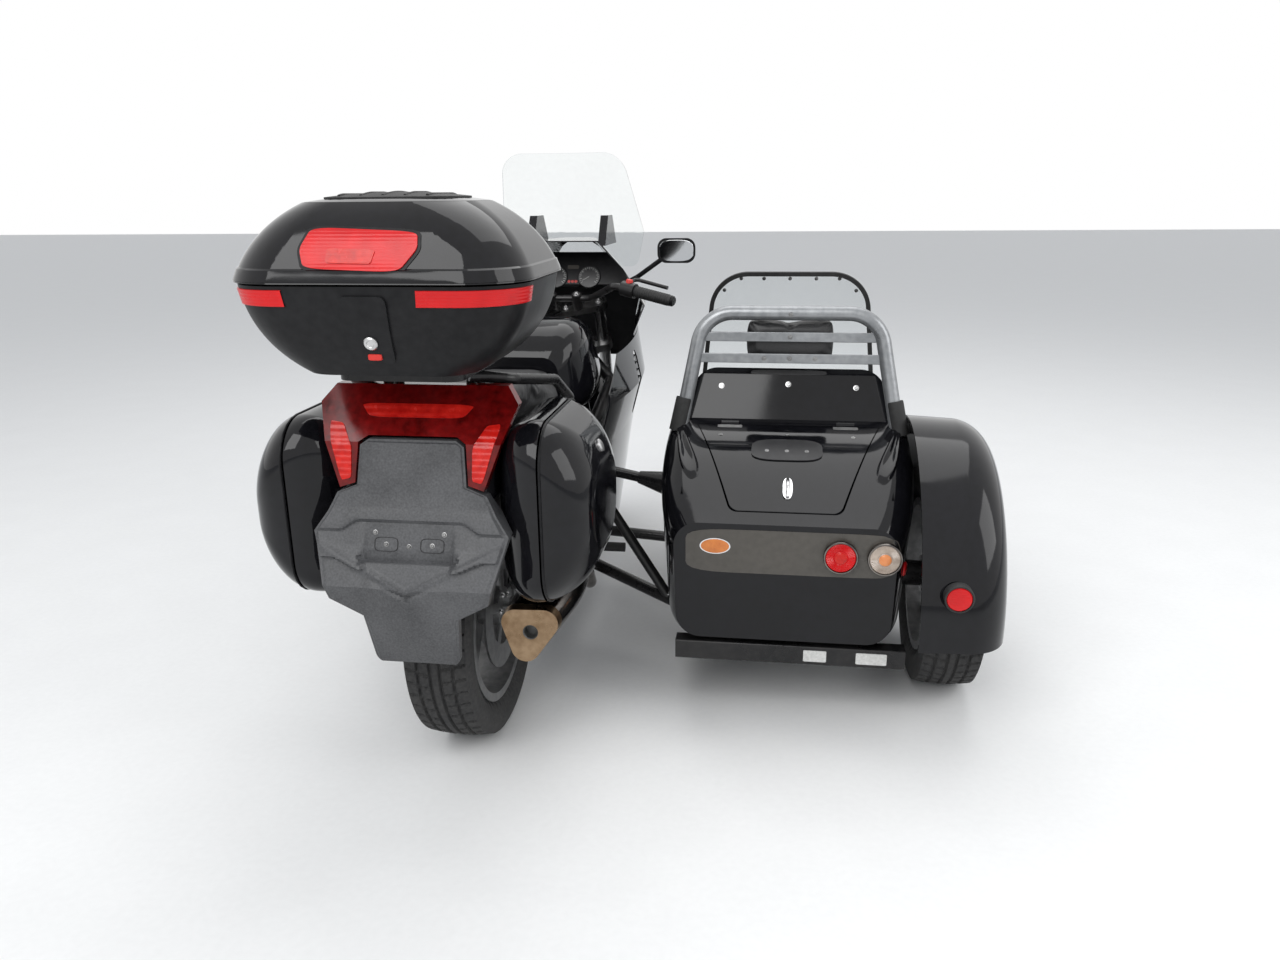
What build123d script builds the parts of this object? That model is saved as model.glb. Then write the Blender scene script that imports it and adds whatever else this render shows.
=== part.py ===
from build123d import *
import math
import os

# Sidecar outfit: a touring motorcycle with a single-seat sidecar on its right.
# Millimetres, X to the right, Y forward, Z up, origin on the floor under the middle of the outfit.
# The y values of both halves are measured forward from the rear axle,
# the x values to the right from the centre plane of the half they belong to.

os.makedirs("parts", exist_ok=True)

# Layout of the outfit
BIKE_X = -422.0
REAR_AXLE_Y = -642.0
WHEELBASE = 1475.0
BODY_OFFSET = 745.0
TRACK = 1165.0
SIDECAR_LEAD = 390.0

# General clearances
RUNNING_GAP = 6.0
SEAT_GAP = 0.3
SEAM_GAP = 4.0
PIN_GAP = 0.5

# Wheels: name, x, y, outer radius, section width, rim radius, half width between beads,
# half width of the tread, drop of the tread at its shoulders, half length of the hub
AXLE_RADIUS = 10.0
FLANGE_HEIGHT = 14.0
FLANGE_WALL = 6.0
BEAD_RISE = 2.0
BARREL_WALL = 6.0
HUB_RADIUS = 48.0
SPOKE_COUNT = 5
SPOKE_DEPTH = 30.0
SPOKE_ROOT = 64.0
SPOKE_TIP = 40.0
SPOKE_SINK = 14.0
DISC_RADIUS = 148.0
DISC_INNER = 92.0
DISC_WALL = 5.0
DISC_ARM = 22.0
DISC_SIDE_GAP = 2.0
DISC_EDGE_GAP = 3.0
WHEELS = {
    "front": dict(x=0.0, y=WHEELBASE, radius=300.0, width=120.0, rim=216.0, bead=44.0, tread=48.0,
                  drop=30.0, hub=62.0, discs=(-64.0, 64.0)),
    "rear": dict(x=0.0, y=0.0, radius=310.0, width=155.0, rim=216.0, bead=58.0, tread=70.0,
                 drop=6.0, hub=64.0, discs=(66.0,)),
    "sidecar": dict(x=TRACK, y=SIDECAR_LEAD, radius=290.0, width=155.0, rim=190.0, bead=58.0, tread=70.0,
                    drop=6.0, hub=52.0, discs=()),
}


def across(centre_x, y):
    """Upright plane across the outfit: local x to the right, local y up."""
    return Plane(origin=(centre_x, REAR_AXLE_Y + y, 0), x_dir=(1, 0, 0), z_dir=(0, -1, 0))


def along(centre_x, x):
    """Upright plane along the outfit: local x forward, local y up."""
    return Plane(origin=(centre_x + x, REAR_AXLE_Y, 0), x_dir=(0, 1, 0), z_dir=(1, 0, 0))


def beside(point, x):
    """Upright plane along the outfit, x to the right of a point: local x forward, local y up."""
    return Plane(origin=point + Vector(x, 0, 0), x_dir=(0, 1, 0), z_dir=(1, 0, 0))


def level(centre_x, z):
    """Flat plane at height z: local x to the right, local y forward."""
    return Plane(origin=(centre_x, REAR_AXLE_Y, z), x_dir=(1, 0, 0), z_dir=(0, 0, 1))


def place(centre_x, x, y, z):
    """A point of one half of the outfit in the shared frame."""
    return Vector(centre_x + x, REAR_AXLE_Y + y, z)


def tube(points, radius, bend):
    """A round bar along straight runs joined by tangent arcs."""
    with BuildPart() as bar:
        with BuildLine():
            path = FilletPolyline(*points, radius=bend)
        with BuildSketch(Plane(origin=path @ 0, z_dir=path % 0)):
            Circle(radius)
        sweep()
    return bar.part


def rounded_section(centre, low, high, half_low, half_high, corner):
    """A trapezium with rounded corners, centre given as its local x."""
    with BuildSketch() as section:
        with BuildLine():
            Polyline(
                (centre - half_low, low),
                (centre + half_low, low),
                (centre + half_high, high),
                (centre - half_high, high),
                close=True,
            )
        make_face()
        fillet(section.vertices(), corner)
    return section.sketch


def save(piece, label):
    """Names a finished piece and writes it."""
    piece.label = label
    export_step(piece, f"parts/{label}.step")


# Wheels
def wheel_centre(wheel):
    return place(BIKE_X, wheel["x"], wheel["y"], wheel["radius"])


def make_tyre(wheel):
    """Tyre ring: vertical bead faces, bulging walls and a crowned tread."""
    centre = wheel_centre(wheel)
    bead = wheel["bead"]
    tread = wheel["tread"]
    half = wheel["width"] / 2
    bead_top = wheel["rim"] + FLANGE_HEIGHT + BEAD_RISE
    shoulder = wheel["radius"] - wheel["drop"]
    widest = (bead_top + shoulder) / 2
    with BuildPart() as tyre:
        with BuildSketch(Plane(origin=centre, x_dir=(1, 0, 0), z_dir=(0, 0, 1))):
            with BuildLine():
                Line((-bead, wheel["rim"]), (bead, wheel["rim"]))
                Line((bead, wheel["rim"]), (bead, bead_top))
                ThreePointArc((bead, bead_top), (half, widest), (tread, shoulder))
                ThreePointArc((tread, shoulder), (0, wheel["radius"]), (-tread, shoulder))
                ThreePointArc((-tread, shoulder), (-half, widest), (-bead, bead_top))
                Line((-bead, bead_top), (-bead, wheel["rim"]))
            make_face()
        revolve(axis=Axis(centre, (1, 0, 0)))
    return tyre.part


def make_rim(wheel):
    """Cast rim: flanged barrel, five tapered spokes, hub with its axle bore, brake discs on short arms."""
    centre = wheel_centre(wheel)
    bead = wheel["bead"]
    barrel_in = wheel["rim"] - BARREL_WALL
    flange = wheel["rim"] + FLANGE_HEIGHT
    with BuildPart() as rim:
        with BuildSketch(Plane(origin=centre, x_dir=(1, 0, 0), z_dir=(0, 0, 1))):
            with BuildLine():
                Polyline(
                    (-bead - FLANGE_WALL, flange),
                    (-bead, flange),
                    (-bead, wheel["rim"]),
                    (bead, wheel["rim"]),
                    (bead, flange),
                    (bead + FLANGE_WALL, flange),
                    (bead + FLANGE_WALL, barrel_in),
                    (-bead - FLANGE_WALL, barrel_in),
                    close=True,
                )
            make_face()
        revolve(axis=Axis(centre, (1, 0, 0)))
        spoke_length = barrel_in - HUB_RADIUS
        with BuildSketch(beside(centre, -SPOKE_DEPTH / 2)):
            with PolarLocations(HUB_RADIUS + spoke_length / 2, SPOKE_COUNT, start_angle=90):
                Polygon(
                    (-spoke_length / 2 - SPOKE_SINK, -SPOKE_ROOT / 2),
                    (spoke_length / 2 + BARREL_WALL / 2, -SPOKE_TIP / 2),
                    (spoke_length / 2 + BARREL_WALL / 2, SPOKE_TIP / 2),
                    (-spoke_length / 2 - SPOKE_SINK, SPOKE_ROOT / 2),
                    align=None,
                )
        extrude(amount=SPOKE_DEPTH)
        with BuildSketch(beside(centre, -wheel["hub"])):
            Circle(HUB_RADIUS)
        extrude(amount=2 * wheel["hub"])
        for disc_x in wheel["discs"]:
            disc_plane = beside(centre, disc_x - DISC_WALL / 2)
            with BuildSketch(disc_plane):
                Circle(DISC_RADIUS)
                Circle(DISC_INNER, mode=Mode.SUBTRACT)
                with PolarLocations((HUB_RADIUS + DISC_INNER) / 2, SPOKE_COUNT, start_angle=90):
                    Rectangle(DISC_INNER - HUB_RADIUS + 20, DISC_ARM)
            extrude(amount=DISC_WALL)
            with BuildSketch(disc_plane):
                Circle(HUB_RADIUS)
            extrude(amount=DISC_WALL)
        with BuildSketch(beside(centre, -wheel["width"])):
            Circle(AXLE_RADIUS + PIN_GAP)
        extrude(amount=2 * wheel["width"], mode=Mode.SUBTRACT)
    return rim.part


for wheel_name, wheel in WHEELS.items():
    save(make_tyre(wheel), f"{wheel_name}_tyre")
    save(make_rim(wheel), f"{wheel_name}_rim")

# Steering geometry: rake from upright, distance of the fork legs ahead of the steering axis
RAKE = 28.0
FORK_OFFSET = 40.0
FORK_HALF = 105.0
SLIDER_RADIUS = 28.0
SLIDER_TOP = 330.0
SLIDER_FOOT = 26.0
STANCHION_RADIUS = 20.5
LOWER_YOKE = 520.0
LOWER_YOKE_WALL = 28.0
TOP_YOKE = 690.0
TOP_YOKE_WALL = 22.0
STEM_RADIUS = 15.0
HEAD_WALL = 13.0
HEAD_GAP = 3.0

rake_sine = math.sin(math.radians(RAKE))
rake_cosine = math.cos(math.radians(RAKE))
front_radius = WHEELS["front"]["radius"]
steering_foot_y = WHEELBASE - FORK_OFFSET * rake_cosine
steering_foot_z = front_radius - FORK_OFFSET * rake_sine
STEERING = Plane(
    origin=place(BIKE_X, 0, steering_foot_y, steering_foot_z),
    x_dir=(1, 0, 0),
    z_dir=(0, -rake_sine, rake_cosine),
)


def steering_point(x, y, z):
    """A point given along the steering axis: x to the right, y ahead of the axis, z up along it."""
    return STEERING.from_local_coords(Vector(x, y, z))


def steering_bar(x_low, x_high, y, z, radius):
    """A round bar straight across the steering."""
    with BuildPart() as bar:
        with BuildSketch(beside(steering_point(x_low, y, z), 0)):
            Circle(radius)
        extrude(amount=x_high - x_low)
    return bar.part


# Fork with front axle and calipers
CALIPER_INNER = 56.0
CALIPER_OUTER = 92.0
CALIPER_REAR = -72.0
CALIPER_LOW = 48.0
CALIPER_HIGH = 124.0
with BuildPart() as fork:
    with BuildSketch(STEERING.offset(-SLIDER_FOOT)):
        with Locations((-FORK_HALF, FORK_OFFSET), (FORK_HALF, FORK_OFFSET)):
            Circle(SLIDER_RADIUS)
    extrude(amount=SLIDER_FOOT + SLIDER_TOP)
    with BuildSketch(STEERING.offset(SLIDER_TOP)):
        with Locations((-FORK_HALF, FORK_OFFSET), (FORK_HALF, FORK_OFFSET)):
            Circle(STANCHION_RADIUS)
    extrude(amount=TOP_YOKE + TOP_YOKE_WALL - SLIDER_TOP)
    for yoke_z, yoke_wall in ((LOWER_YOKE, LOWER_YOKE_WALL), (TOP_YOKE, TOP_YOKE_WALL)):
        with BuildSketch(STEERING.offset(yoke_z)):
            with Locations((-FORK_HALF, FORK_OFFSET), (FORK_HALF, FORK_OFFSET)):
                Circle(STANCHION_RADIUS + 10)
            Circle(STEM_RADIUS + 12)
            make_hull()
        extrude(amount=yoke_wall)
    with BuildSketch(STEERING.offset(LOWER_YOKE)):
        Circle(STEM_RADIUS)
    extrude(amount=TOP_YOKE - LOWER_YOKE)
    for side in (-1, 1):
        with BuildSketch(STEERING.offset(CALIPER_LOW)):
            with Locations((side * (CALIPER_INNER + CALIPER_OUTER) / 2, (CALIPER_REAR + FORK_OFFSET) / 2)):
                Rectangle(CALIPER_OUTER - CALIPER_INNER, FORK_OFFSET - CALIPER_REAR)
        extrude(amount=CALIPER_HIGH - CALIPER_LOW)
    for disc_x in WHEELS["front"]["discs"]:
        slot_wall = DISC_WALL + 2 * DISC_SIDE_GAP
        with BuildSketch(beside(steering_point(disc_x - slot_wall / 2, FORK_OFFSET, 0), 0)):
            Circle(DISC_RADIUS + DISC_EDGE_GAP)
        extrude(amount=slot_wall, mode=Mode.SUBTRACT)
    add(steering_bar(-FORK_HALF, FORK_HALF, FORK_OFFSET, 0, AXLE_RADIUS))
save(fork.part, "fork")

# Handlebar: one bent tube with two risers, switch housings and levers
BAR_RADIUS = 11.0
BAR_BEND = 45.0
BAR_CLAMP_HALF = 90.0
BAR_CLAMP_Z = 748.0
BAR_END = (388.0, -225.0, 893.0)
BAR_KNEE = (205.0, -146.0, 893.0)
RISER_RADIUS = 17.0
RISER_X = 42.0
GRIP_RADIUS = 16.5
GRIP_LENGTH = 124.0
SWITCH_RADIUS = 23.0
SWITCH_LENGTH = 46.0
LEVER_RADIUS = 6.0
LEVER_REACH = 62.0
bar_right = Vector(*BAR_END)
bar_knee = Vector(*BAR_KNEE)
grip_way = (bar_knee - bar_right).normalized()


def mirrored(point, side):
    return Vector(side * point.X, point.Y, point.Z)


def steering_rod(start, end, radius):
    """A straight round rod between two points given along the steering axis."""
    first = steering_point(*start)
    last = steering_point(*end)
    with BuildPart() as rod:
        with BuildSketch(Plane(origin=first, z_dir=last - first)):
            Circle(radius)
        extrude(amount=(last - first).length)
    return rod.part


with BuildPart() as handlebar:
    add(tube(
        [
            steering_point(*bar_right),
            steering_point(*bar_knee),
            steering_point(BAR_CLAMP_HALF, 0, BAR_CLAMP_Z),
            steering_point(-BAR_CLAMP_HALF, 0, BAR_CLAMP_Z),
            steering_point(*mirrored(bar_knee, -1)),
            steering_point(*mirrored(bar_right, -1)),
        ],
        BAR_RADIUS,
        BAR_BEND,
    ))
    for side in (-1, 1):
        with BuildSketch(STEERING.offset(TOP_YOKE + TOP_YOKE_WALL)):
            with Locations((side * RISER_X, 0)):
                Circle(RISER_RADIUS)
        extrude(amount=BAR_CLAMP_Z - TOP_YOKE - TOP_YOKE_WALL + BAR_RADIUS + 5)
        switch_start = mirrored(bar_right + grip_way * (GRIP_LENGTH + 1), side)
        switch_end = mirrored(bar_right + grip_way * (GRIP_LENGTH + 1 + SWITCH_LENGTH), side)
        add(steering_rod(switch_start, switch_end, SWITCH_RADIUS))
        lever_root = switch_start * 0.5 + switch_end * 0.5
        lever_knuckle = lever_root + Vector(side * 6, LEVER_REACH, 0)
        lever_tip = mirrored(bar_right + grip_way * 18 + Vector(0, LEVER_REACH, 0), side)
        add(tube([steering_point(*lever_root), steering_point(*lever_knuckle), steering_point(*lever_tip)],
                 LEVER_RADIUS, 16))
save(handlebar.part, "handlebar")

with BuildPart() as grips:
    for side in (-1, 1):
        grip_end = mirrored(bar_right - grip_way * 3, side)
        grip_root = mirrored(bar_right + grip_way * GRIP_LENGTH, side)
        add(steering_rod(grip_end, grip_root, GRIP_RADIUS))
        add(steering_rod(mirrored(bar_right, side), grip_root, BAR_RADIUS + SEAT_GAP), mode=Mode.SUBTRACT)
save(grips.part, "grips")

# Front mudguard: an arched blade round the tyre, held at the inner faces of the sliders
GUARD_GAP = 26.0
GUARD_WALL = 4.0
GUARD_HALF = 70.0
GUARD_SKIRT = 52.0
GUARD_START = -30.0
GUARD_SWEEP = 150.0
guard_inner = front_radius + GUARD_GAP
front_centre = wheel_centre(WHEELS["front"])
guard_turn = math.radians(GUARD_START - RAKE)
guard_radial = Vector(0, -math.sin(guard_turn), math.cos(guard_turn))
with BuildPart() as front_mudguard:
    with BuildSketch(Plane(origin=front_centre, x_dir=(1, 0, 0), z_dir=Vector(1, 0, 0).cross(guard_radial))):
        with BuildLine():
            Polyline(
                (-GUARD_HALF, guard_inner - GUARD_SKIRT),
                (-GUARD_HALF, guard_inner - 20),
                (-GUARD_HALF + 26, guard_inner),
                (GUARD_HALF - 26, guard_inner),
                (GUARD_HALF, guard_inner - 20),
                (GUARD_HALF, guard_inner - GUARD_SKIRT),
                (GUARD_HALF + GUARD_WALL, guard_inner - GUARD_SKIRT),
                (GUARD_HALF + GUARD_WALL, guard_inner - 18),
                (GUARD_HALF - 24, guard_inner + GUARD_WALL),
                (-GUARD_HALF + 24, guard_inner + GUARD_WALL),
                (-GUARD_HALF - GUARD_WALL, guard_inner - 18),
                (-GUARD_HALF - GUARD_WALL, guard_inner - GUARD_SKIRT),
                close=True,
            )
        make_face()
    revolve(axis=Axis(front_centre, (1, 0, 0)), revolution_arc=GUARD_SWEEP)
    for side in (-1, 1):
        ear_x = side * (FORK_HALF - SLIDER_RADIUS - SEAT_GAP)
        with BuildSketch(STEERING.offset(guard_inner - GUARD_SKIRT - 26)):
            with Locations(((ear_x + side * GUARD_HALF) / 2, FORK_OFFSET)):
                Rectangle(abs(ear_x) - GUARD_HALF, 44)
        extrude(amount=44)
save(front_mudguard.part, "front_mudguard")

# Swingarm: round arm on the right, shaft housing and final drive on the left, rear axle and caliper
PIVOT_Y = 440.0
PIVOT_Z = 400.0
ARM_X = 108.0
ARM_RADIUS = 20.0
SHAFT_X = -118.0
SHAFT_RADIUS = 32.0
DRIVE_RADIUS = 72.0
DRIVE_INNER = 84.0
DRIVE_OUTER = 148.0
BRACE_Y = 372.0
PIVOT_RADIUS = 24.0
PIVOT_HALF = 152.0
rear_radius = WHEELS["rear"]["radius"]
rear_disc_x = WHEELS["rear"]["discs"][0]


def bike_rod(start, end, radius):
    """A straight round rod between two points of the motorcycle."""
    first = place(BIKE_X, *start)
    last = place(BIKE_X, *end)
    with BuildPart() as rod:
        with BuildSketch(Plane(origin=first, z_dir=last - first)):
            Circle(radius)
        extrude(amount=(last - first).length)
    return rod.part


def bike_tube(points, radius, bend):
    return tube([place(BIKE_X, *point) for point in points], radius, bend)


def bike_cone(start, end, start_radius, end_radius):
    """A round cone stump between two points of the motorcycle."""
    first = place(BIKE_X, *start)
    last = place(BIKE_X, *end)
    with BuildPart() as cone:
        with BuildSketch(Plane(origin=first, z_dir=last - first)):
            Circle(start_radius)
        with BuildSketch(Plane(origin=last, z_dir=last - first)):
            Circle(end_radius)
        loft()
    return cone.part


with BuildPart() as swingarm:
    add(bike_rod((-PIVOT_HALF, PIVOT_Y, PIVOT_Z), (PIVOT_HALF, PIVOT_Y, PIVOT_Z), PIVOT_RADIUS))
    add(bike_rod((ARM_X, PIVOT_Y, PIVOT_Z), (ARM_X, 0, rear_radius), ARM_RADIUS))
    add(bike_rod((SHAFT_X, PIVOT_Y, PIVOT_Z), (SHAFT_X, 0, rear_radius), SHAFT_RADIUS))
    brace_z = PIVOT_Z + (rear_radius - PIVOT_Z) * (PIVOT_Y - BRACE_Y) / PIVOT_Y
    add(bike_rod((SHAFT_X, BRACE_Y, brace_z), (ARM_X, BRACE_Y, brace_z), ARM_RADIUS))
    with BuildSketch(along(BIKE_X, -DRIVE_OUTER)):
        with Locations((0, rear_radius)):
            Circle(DRIVE_RADIUS)
    extrude(amount=DRIVE_OUTER - DRIVE_INNER, taper=-8)
    add(bike_rod((ARM_X - ARM_RADIUS, 0, rear_radius), (ARM_X + ARM_RADIUS, 0, rear_radius), ARM_RADIUS + 6))
    with BuildSketch(along(BIKE_X, rear_disc_x - 16)):
        with BuildLine():
            Polyline((60, rear_radius + 20), (150, rear_radius + 8), (158, rear_radius + 70),
                     (86, rear_radius + 104), close=True)
        make_face()
    extrude(amount=ARM_X - rear_disc_x + 10)
    with BuildSketch(along(BIKE_X, rear_disc_x - DISC_WALL / 2 - DISC_SIDE_GAP)):
        with Locations((0, rear_radius)):
            Circle(DISC_RADIUS + DISC_EDGE_GAP)
    extrude(amount=DISC_WALL + 2 * DISC_SIDE_GAP, mode=Mode.SUBTRACT)
    add(bike_rod((-DRIVE_OUTER + 10, 0, rear_radius), (ARM_X + ARM_RADIUS, 0, rear_radius), AXLE_RADIUS))
save(swingarm.part, "swingarm")

# Motorcycle frame: steering head, twin main tubes, pivot plates, saddle rails and engine cradle
MAIN_RADIUS = 19.0
MAIN_X = 186.0
MAIN_Z = 625.0
RAIL_RADIUS = 12.0
RAIL_X = 128.0
RAIL_Z = 668.0
RAIL_REAR = -215.0
PLATE_INNER = 154.0
PLATE_WALL = 24.0
CRADLE_RADIUS = 14.0
CRADLE_X = 120.0
CRADLE_Z = 214.0
SIDE_STRUT_START = (170.0, 424.0, 560.0)
SIDE_STRUT_END = (446.0, 362.0, 524.0)
SIDE_STRUT_RADIUS = 14.0
SIDE_STRUT_COVER = 36.0
SIDE_STRUT_COVER_LENGTH = 0.34
head_low = LOWER_YOKE + LOWER_YOKE_WALL + HEAD_GAP
head_high = TOP_YOKE - HEAD_GAP
head_radius = STEM_RADIUS + 1 + HEAD_WALL
with BuildPart() as motorcycle_frame:
    for side in (-1, 1):
        add(bike_tube(
            [
                (side * 20, 1140, 806),
                (side * MAIN_X, 905, 700),
                (side * MAIN_X, 560, MAIN_Z),
                (side * (PLATE_INNER + PLATE_WALL / 2), 440, 520),
            ],
            MAIN_RADIUS,
            40,
        ))
        with BuildSketch(along(BIKE_X, side * (PLATE_INNER + PLATE_WALL / 2) - PLATE_WALL / 2)):
            with BuildLine():
                Polyline((372, 300), (430, 236), (520, 240), (520, 380), (486, 600), (410, 600), close=True)
            make_face()
        extrude(amount=PLATE_WALL)
        add(bike_tube(
            [
                (side * (PLATE_INNER + PLATE_WALL / 2), 440, 585),
                (side * RAIL_X, 350, RAIL_Z),
                (side * RAIL_X, RAIL_REAR, RAIL_Z),
            ],
            RAIL_RADIUS,
            30,
        ))
        add(bike_tube(
            [
                (side * (PLATE_INNER + PLATE_WALL / 2), 480, 262),
                (side * CRADLE_X, 620, CRADLE_Z),
                (side * CRADLE_X, 1000, CRADLE_Z),
                (side * 104, 1062, 300),
                (side * 24, 1140, 776),
            ],
            CRADLE_RADIUS,
            30,
        ))
    for cross_y in (RAIL_REAR + 30, 60.0, 300.0):
        add(bike_rod((-RAIL_X, cross_y, RAIL_Z), (RAIL_X, cross_y, RAIL_Z), RAIL_RADIUS))
    with BuildSketch(STEERING.offset(head_low)):
        Circle(head_radius)
    extrude(amount=head_high - head_low)
    with BuildSketch(STEERING.offset(head_low)):
        Circle(STEM_RADIUS + 1)
    extrude(amount=head_high - head_low, mode=Mode.SUBTRACT)
    add(bike_rod((-PIVOT_HALF - PLATE_WALL, PIVOT_Y, PIVOT_Z), (PIVOT_HALF + PLATE_WALL, PIVOT_Y, PIVOT_Z),
                 PIVOT_RADIUS - 10), mode=Mode.SUBTRACT)
save(motorcycle_frame.part, "motorcycle_frame")

# Engine: crankcase and cylinders as one plain block, resting on the cradle tubes
ENGINE_HALF = 146.0
ENGINE_REAR = 528.0
ENGINE_FRONT = 1004.0
ENGINE_LOW = CRADLE_Z + CRADLE_RADIUS + SEAT_GAP
ENGINE_HIGH = 600.0
with BuildPart() as engine_block:
    with BuildSketch(along(BIKE_X, -ENGINE_HALF)):
        with BuildLine():
            Polyline(
                (ENGINE_REAR, ENGINE_LOW + 90),
                (ENGINE_REAR + 112, ENGINE_LOW),
                (ENGINE_FRONT - 90, ENGINE_LOW),
                (ENGINE_FRONT - 20, ENGINE_LOW + 110),
                (ENGINE_FRONT, ENGINE_HIGH - 120),
                (ENGINE_FRONT - 90, ENGINE_HIGH - 20),
                (ENGINE_REAR + 240, ENGINE_HIGH - 90),
                (ENGINE_REAR + 130, ENGINE_HIGH),
                (ENGINE_REAR + 10, ENGINE_HIGH - 60),
                close=True,
            )
        make_face()
    extrude(amount=2 * ENGINE_HALF)
    chamfer(engine_block.edges().filter_by(GeomType.LINE).group_by(Axis.X)[0], 22)
    chamfer(engine_block.edges().filter_by(GeomType.LINE).group_by(Axis.X)[-1], 22)
save(engine_block.part, "engine_block")

# Fairing: one lofted skin, half widths at each height, then parted into cowl and sides
# Columns: height, half width at the rear, greatest half width, its y, half width of the nose, y of the nose
FAIRING_WALL = 4.0
FAIRING_REAR = 400.0
NOSE_BULGE = 34.0
# Cuts that clear the fairing: half width, and how far forward they reach
CUT_HALF = 400.0
CUT_FRONT = 1800.0
FAIRING_ROWS = [
    (262, 196, 210, 800, 186, 1060),
    (430, 216, 234, 800, 200, 1150),
    (600, 236, 262, 820, 190, 1290),
    (715, 250, 289, 860, 140, 1560),
    (845, 236, 256, 900, 128, 1662),
    (930, 262, 290, 940, 118, 1630),
    (1040, 186, 212, 1000, 90, 1470),
    (1128, 106, 124, 1060, 60, 1330),
]


def fairing_section(rear_half, half, widest, nose_half, nose_y, inset):
    """Plan outline of the fairing at one height, closed across the rear."""
    with BuildSketch() as section:
        with BuildLine():
            rear_right = (rear_half - inset, FAIRING_REAR - inset)
            rear_left = (-rear_half + inset, FAIRING_REAR - inset)
            nose_right = (nose_half - inset * 0.7, nose_y - inset * 0.7)
            nose_left = (-nose_half + inset * 0.7, nose_y - inset * 0.7)
            Line(rear_left, rear_right)
            ThreePointArc(rear_right, (half - inset, widest), nose_right)
            ThreePointArc(nose_right, (0, nose_y + NOSE_BULGE - inset), nose_left)
            ThreePointArc(nose_left, (-half + inset, widest), rear_left)
        make_face()
    return section.sketch


def fairing_volume(inset):
    """The space inside the fairing's surface, moved inwards by the inset, open at the rear and the foot."""
    with BuildPart() as volume:
        for index, (z, rear_half, half, widest, nose_half, nose_y) in enumerate(FAIRING_ROWS):
            drop = inset if index in (0, len(FAIRING_ROWS) - 1) else 0
            with BuildSketch(level(BIKE_X, z - drop)):
                add(fairing_section(rear_half, half, widest, nose_half, nose_y, inset))
        loft(ruled=True)
    return volume.part


fairing_outer = fairing_volume(0)
fairing_inner = fairing_volume(FAIRING_WALL)

# Upper cowl: the fairing skin above the parting line, open to the rider,
# with headlamp opening and screen stays
PARTING_Z = 838.0
COWL_REAR_LOW = 950.0
COWL_REAR_MIDDLE = 1084.0
COWL_REAR_HIGH = 1100.0
COWL_TOP = FAIRING_ROWS[-1][0]
NOSE_UNDER_Z = 722.0
LAMP_HALF = 150.0
LAMP_LOW = 792.0
LAMP_HIGH = 902.0
LAMP_WALL = 5.0
LAMP_CORNER = 34.0
LAMP_FROM_Y = 1380.0
fairing_skin = fairing_outer - fairing_inner


def lamp_outline(margin):
    """Front outline of the headlamp, grown by the margin."""
    with BuildSketch() as outline:
        with BuildLine():
            Polyline(
                (-LAMP_HALF - margin, LAMP_HIGH + margin),
                (-LAMP_HALF * 0.62, LAMP_LOW - margin),
                (LAMP_HALF * 0.62, LAMP_LOW - margin),
                (LAMP_HALF + margin, LAMP_HIGH + margin),
                close=True,
            )
        make_face()
        fillet(outline.vertices(), LAMP_CORNER)
    return outline.sketch


# Windscreen: a curved clear sheet leaning back, with a rounded top
SCREEN_WALL = 4.0
SCREEN_RADIUS = 430.0
SCREEN_FOOT_Y = 1440.0
SCREEN_FOOT_Z = 1024.0
SCREEN_TOP_Y = 1150.0
SCREEN_TOP_Z = 1404.0
SCREEN_FOOT_HALF = 205.0
SCREEN_WIDE_HALF = 246.0
SCREEN_WIDE_Z = 1150.0
SCREEN_TOP_HALF = 196.0
SCREEN_CORNER = 78.0
SCREEN_SPARE = 30.0


def screen_volume(radius_out, radius_in):
    """The band between two upright cylinders, sheared back along the screen's slope."""
    rise = SCREEN_TOP_Z - SCREEN_FOOT_Z + 2 * SCREEN_SPARE
    lean = (SCREEN_FOOT_Y - SCREEN_TOP_Y) / (SCREEN_TOP_Z - SCREEN_FOOT_Z)
    sweep_half = math.asin((SCREEN_WIDE_HALF + 20) / radius_out)
    with BuildPart() as band:
        with BuildSketch(level(BIKE_X, SCREEN_FOOT_Z - SCREEN_SPARE)):
            centre_y = SCREEN_FOOT_Y + SCREEN_SPARE * lean - SCREEN_RADIUS
            ends = []
            for radius in (radius_out, radius_in):
                ends.append((radius * math.sin(sweep_half), centre_y + radius * math.cos(sweep_half)))
            (out_x, out_y), (in_x, in_y) = ends
            with BuildLine():
                ThreePointArc((-out_x, out_y), (0, centre_y + radius_out), (out_x, out_y))
                Line((out_x, out_y), (in_x, in_y))
                ThreePointArc((in_x, in_y), (0, centre_y + radius_in), (-in_x, in_y))
                Line((-in_x, in_y), (-out_x, out_y))
            make_face()
        extrude(amount=math.hypot(rise, rise * lean), dir=Vector(0, -lean, 1).normalized())
    return band.part


with BuildPart() as windscreen:
    add(screen_volume(SCREEN_RADIUS, SCREEN_RADIUS - SCREEN_WALL))
    with BuildSketch(across(BIKE_X, 1700)) as screen_outline:
        with BuildLine():
            Polyline(
                (-SCREEN_FOOT_HALF, SCREEN_FOOT_Z),
                (SCREEN_FOOT_HALF, SCREEN_FOOT_Z),
                (SCREEN_WIDE_HALF, SCREEN_WIDE_Z),
                (SCREEN_TOP_HALF, SCREEN_TOP_Z),
                (-SCREEN_TOP_HALF, SCREEN_TOP_Z),
                (-SCREEN_WIDE_HALF, SCREEN_WIDE_Z),
                close=True,
            )
        make_face()
        fillet(screen_outline.vertices().group_by(Axis.Y)[-1], SCREEN_CORNER)
        fillet(screen_outline.vertices().group_by(Axis.Y)[0], SCREEN_CORNER / 2)
    extrude(amount=900, mode=Mode.INTERSECT)
save(windscreen.part, "windscreen")

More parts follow.
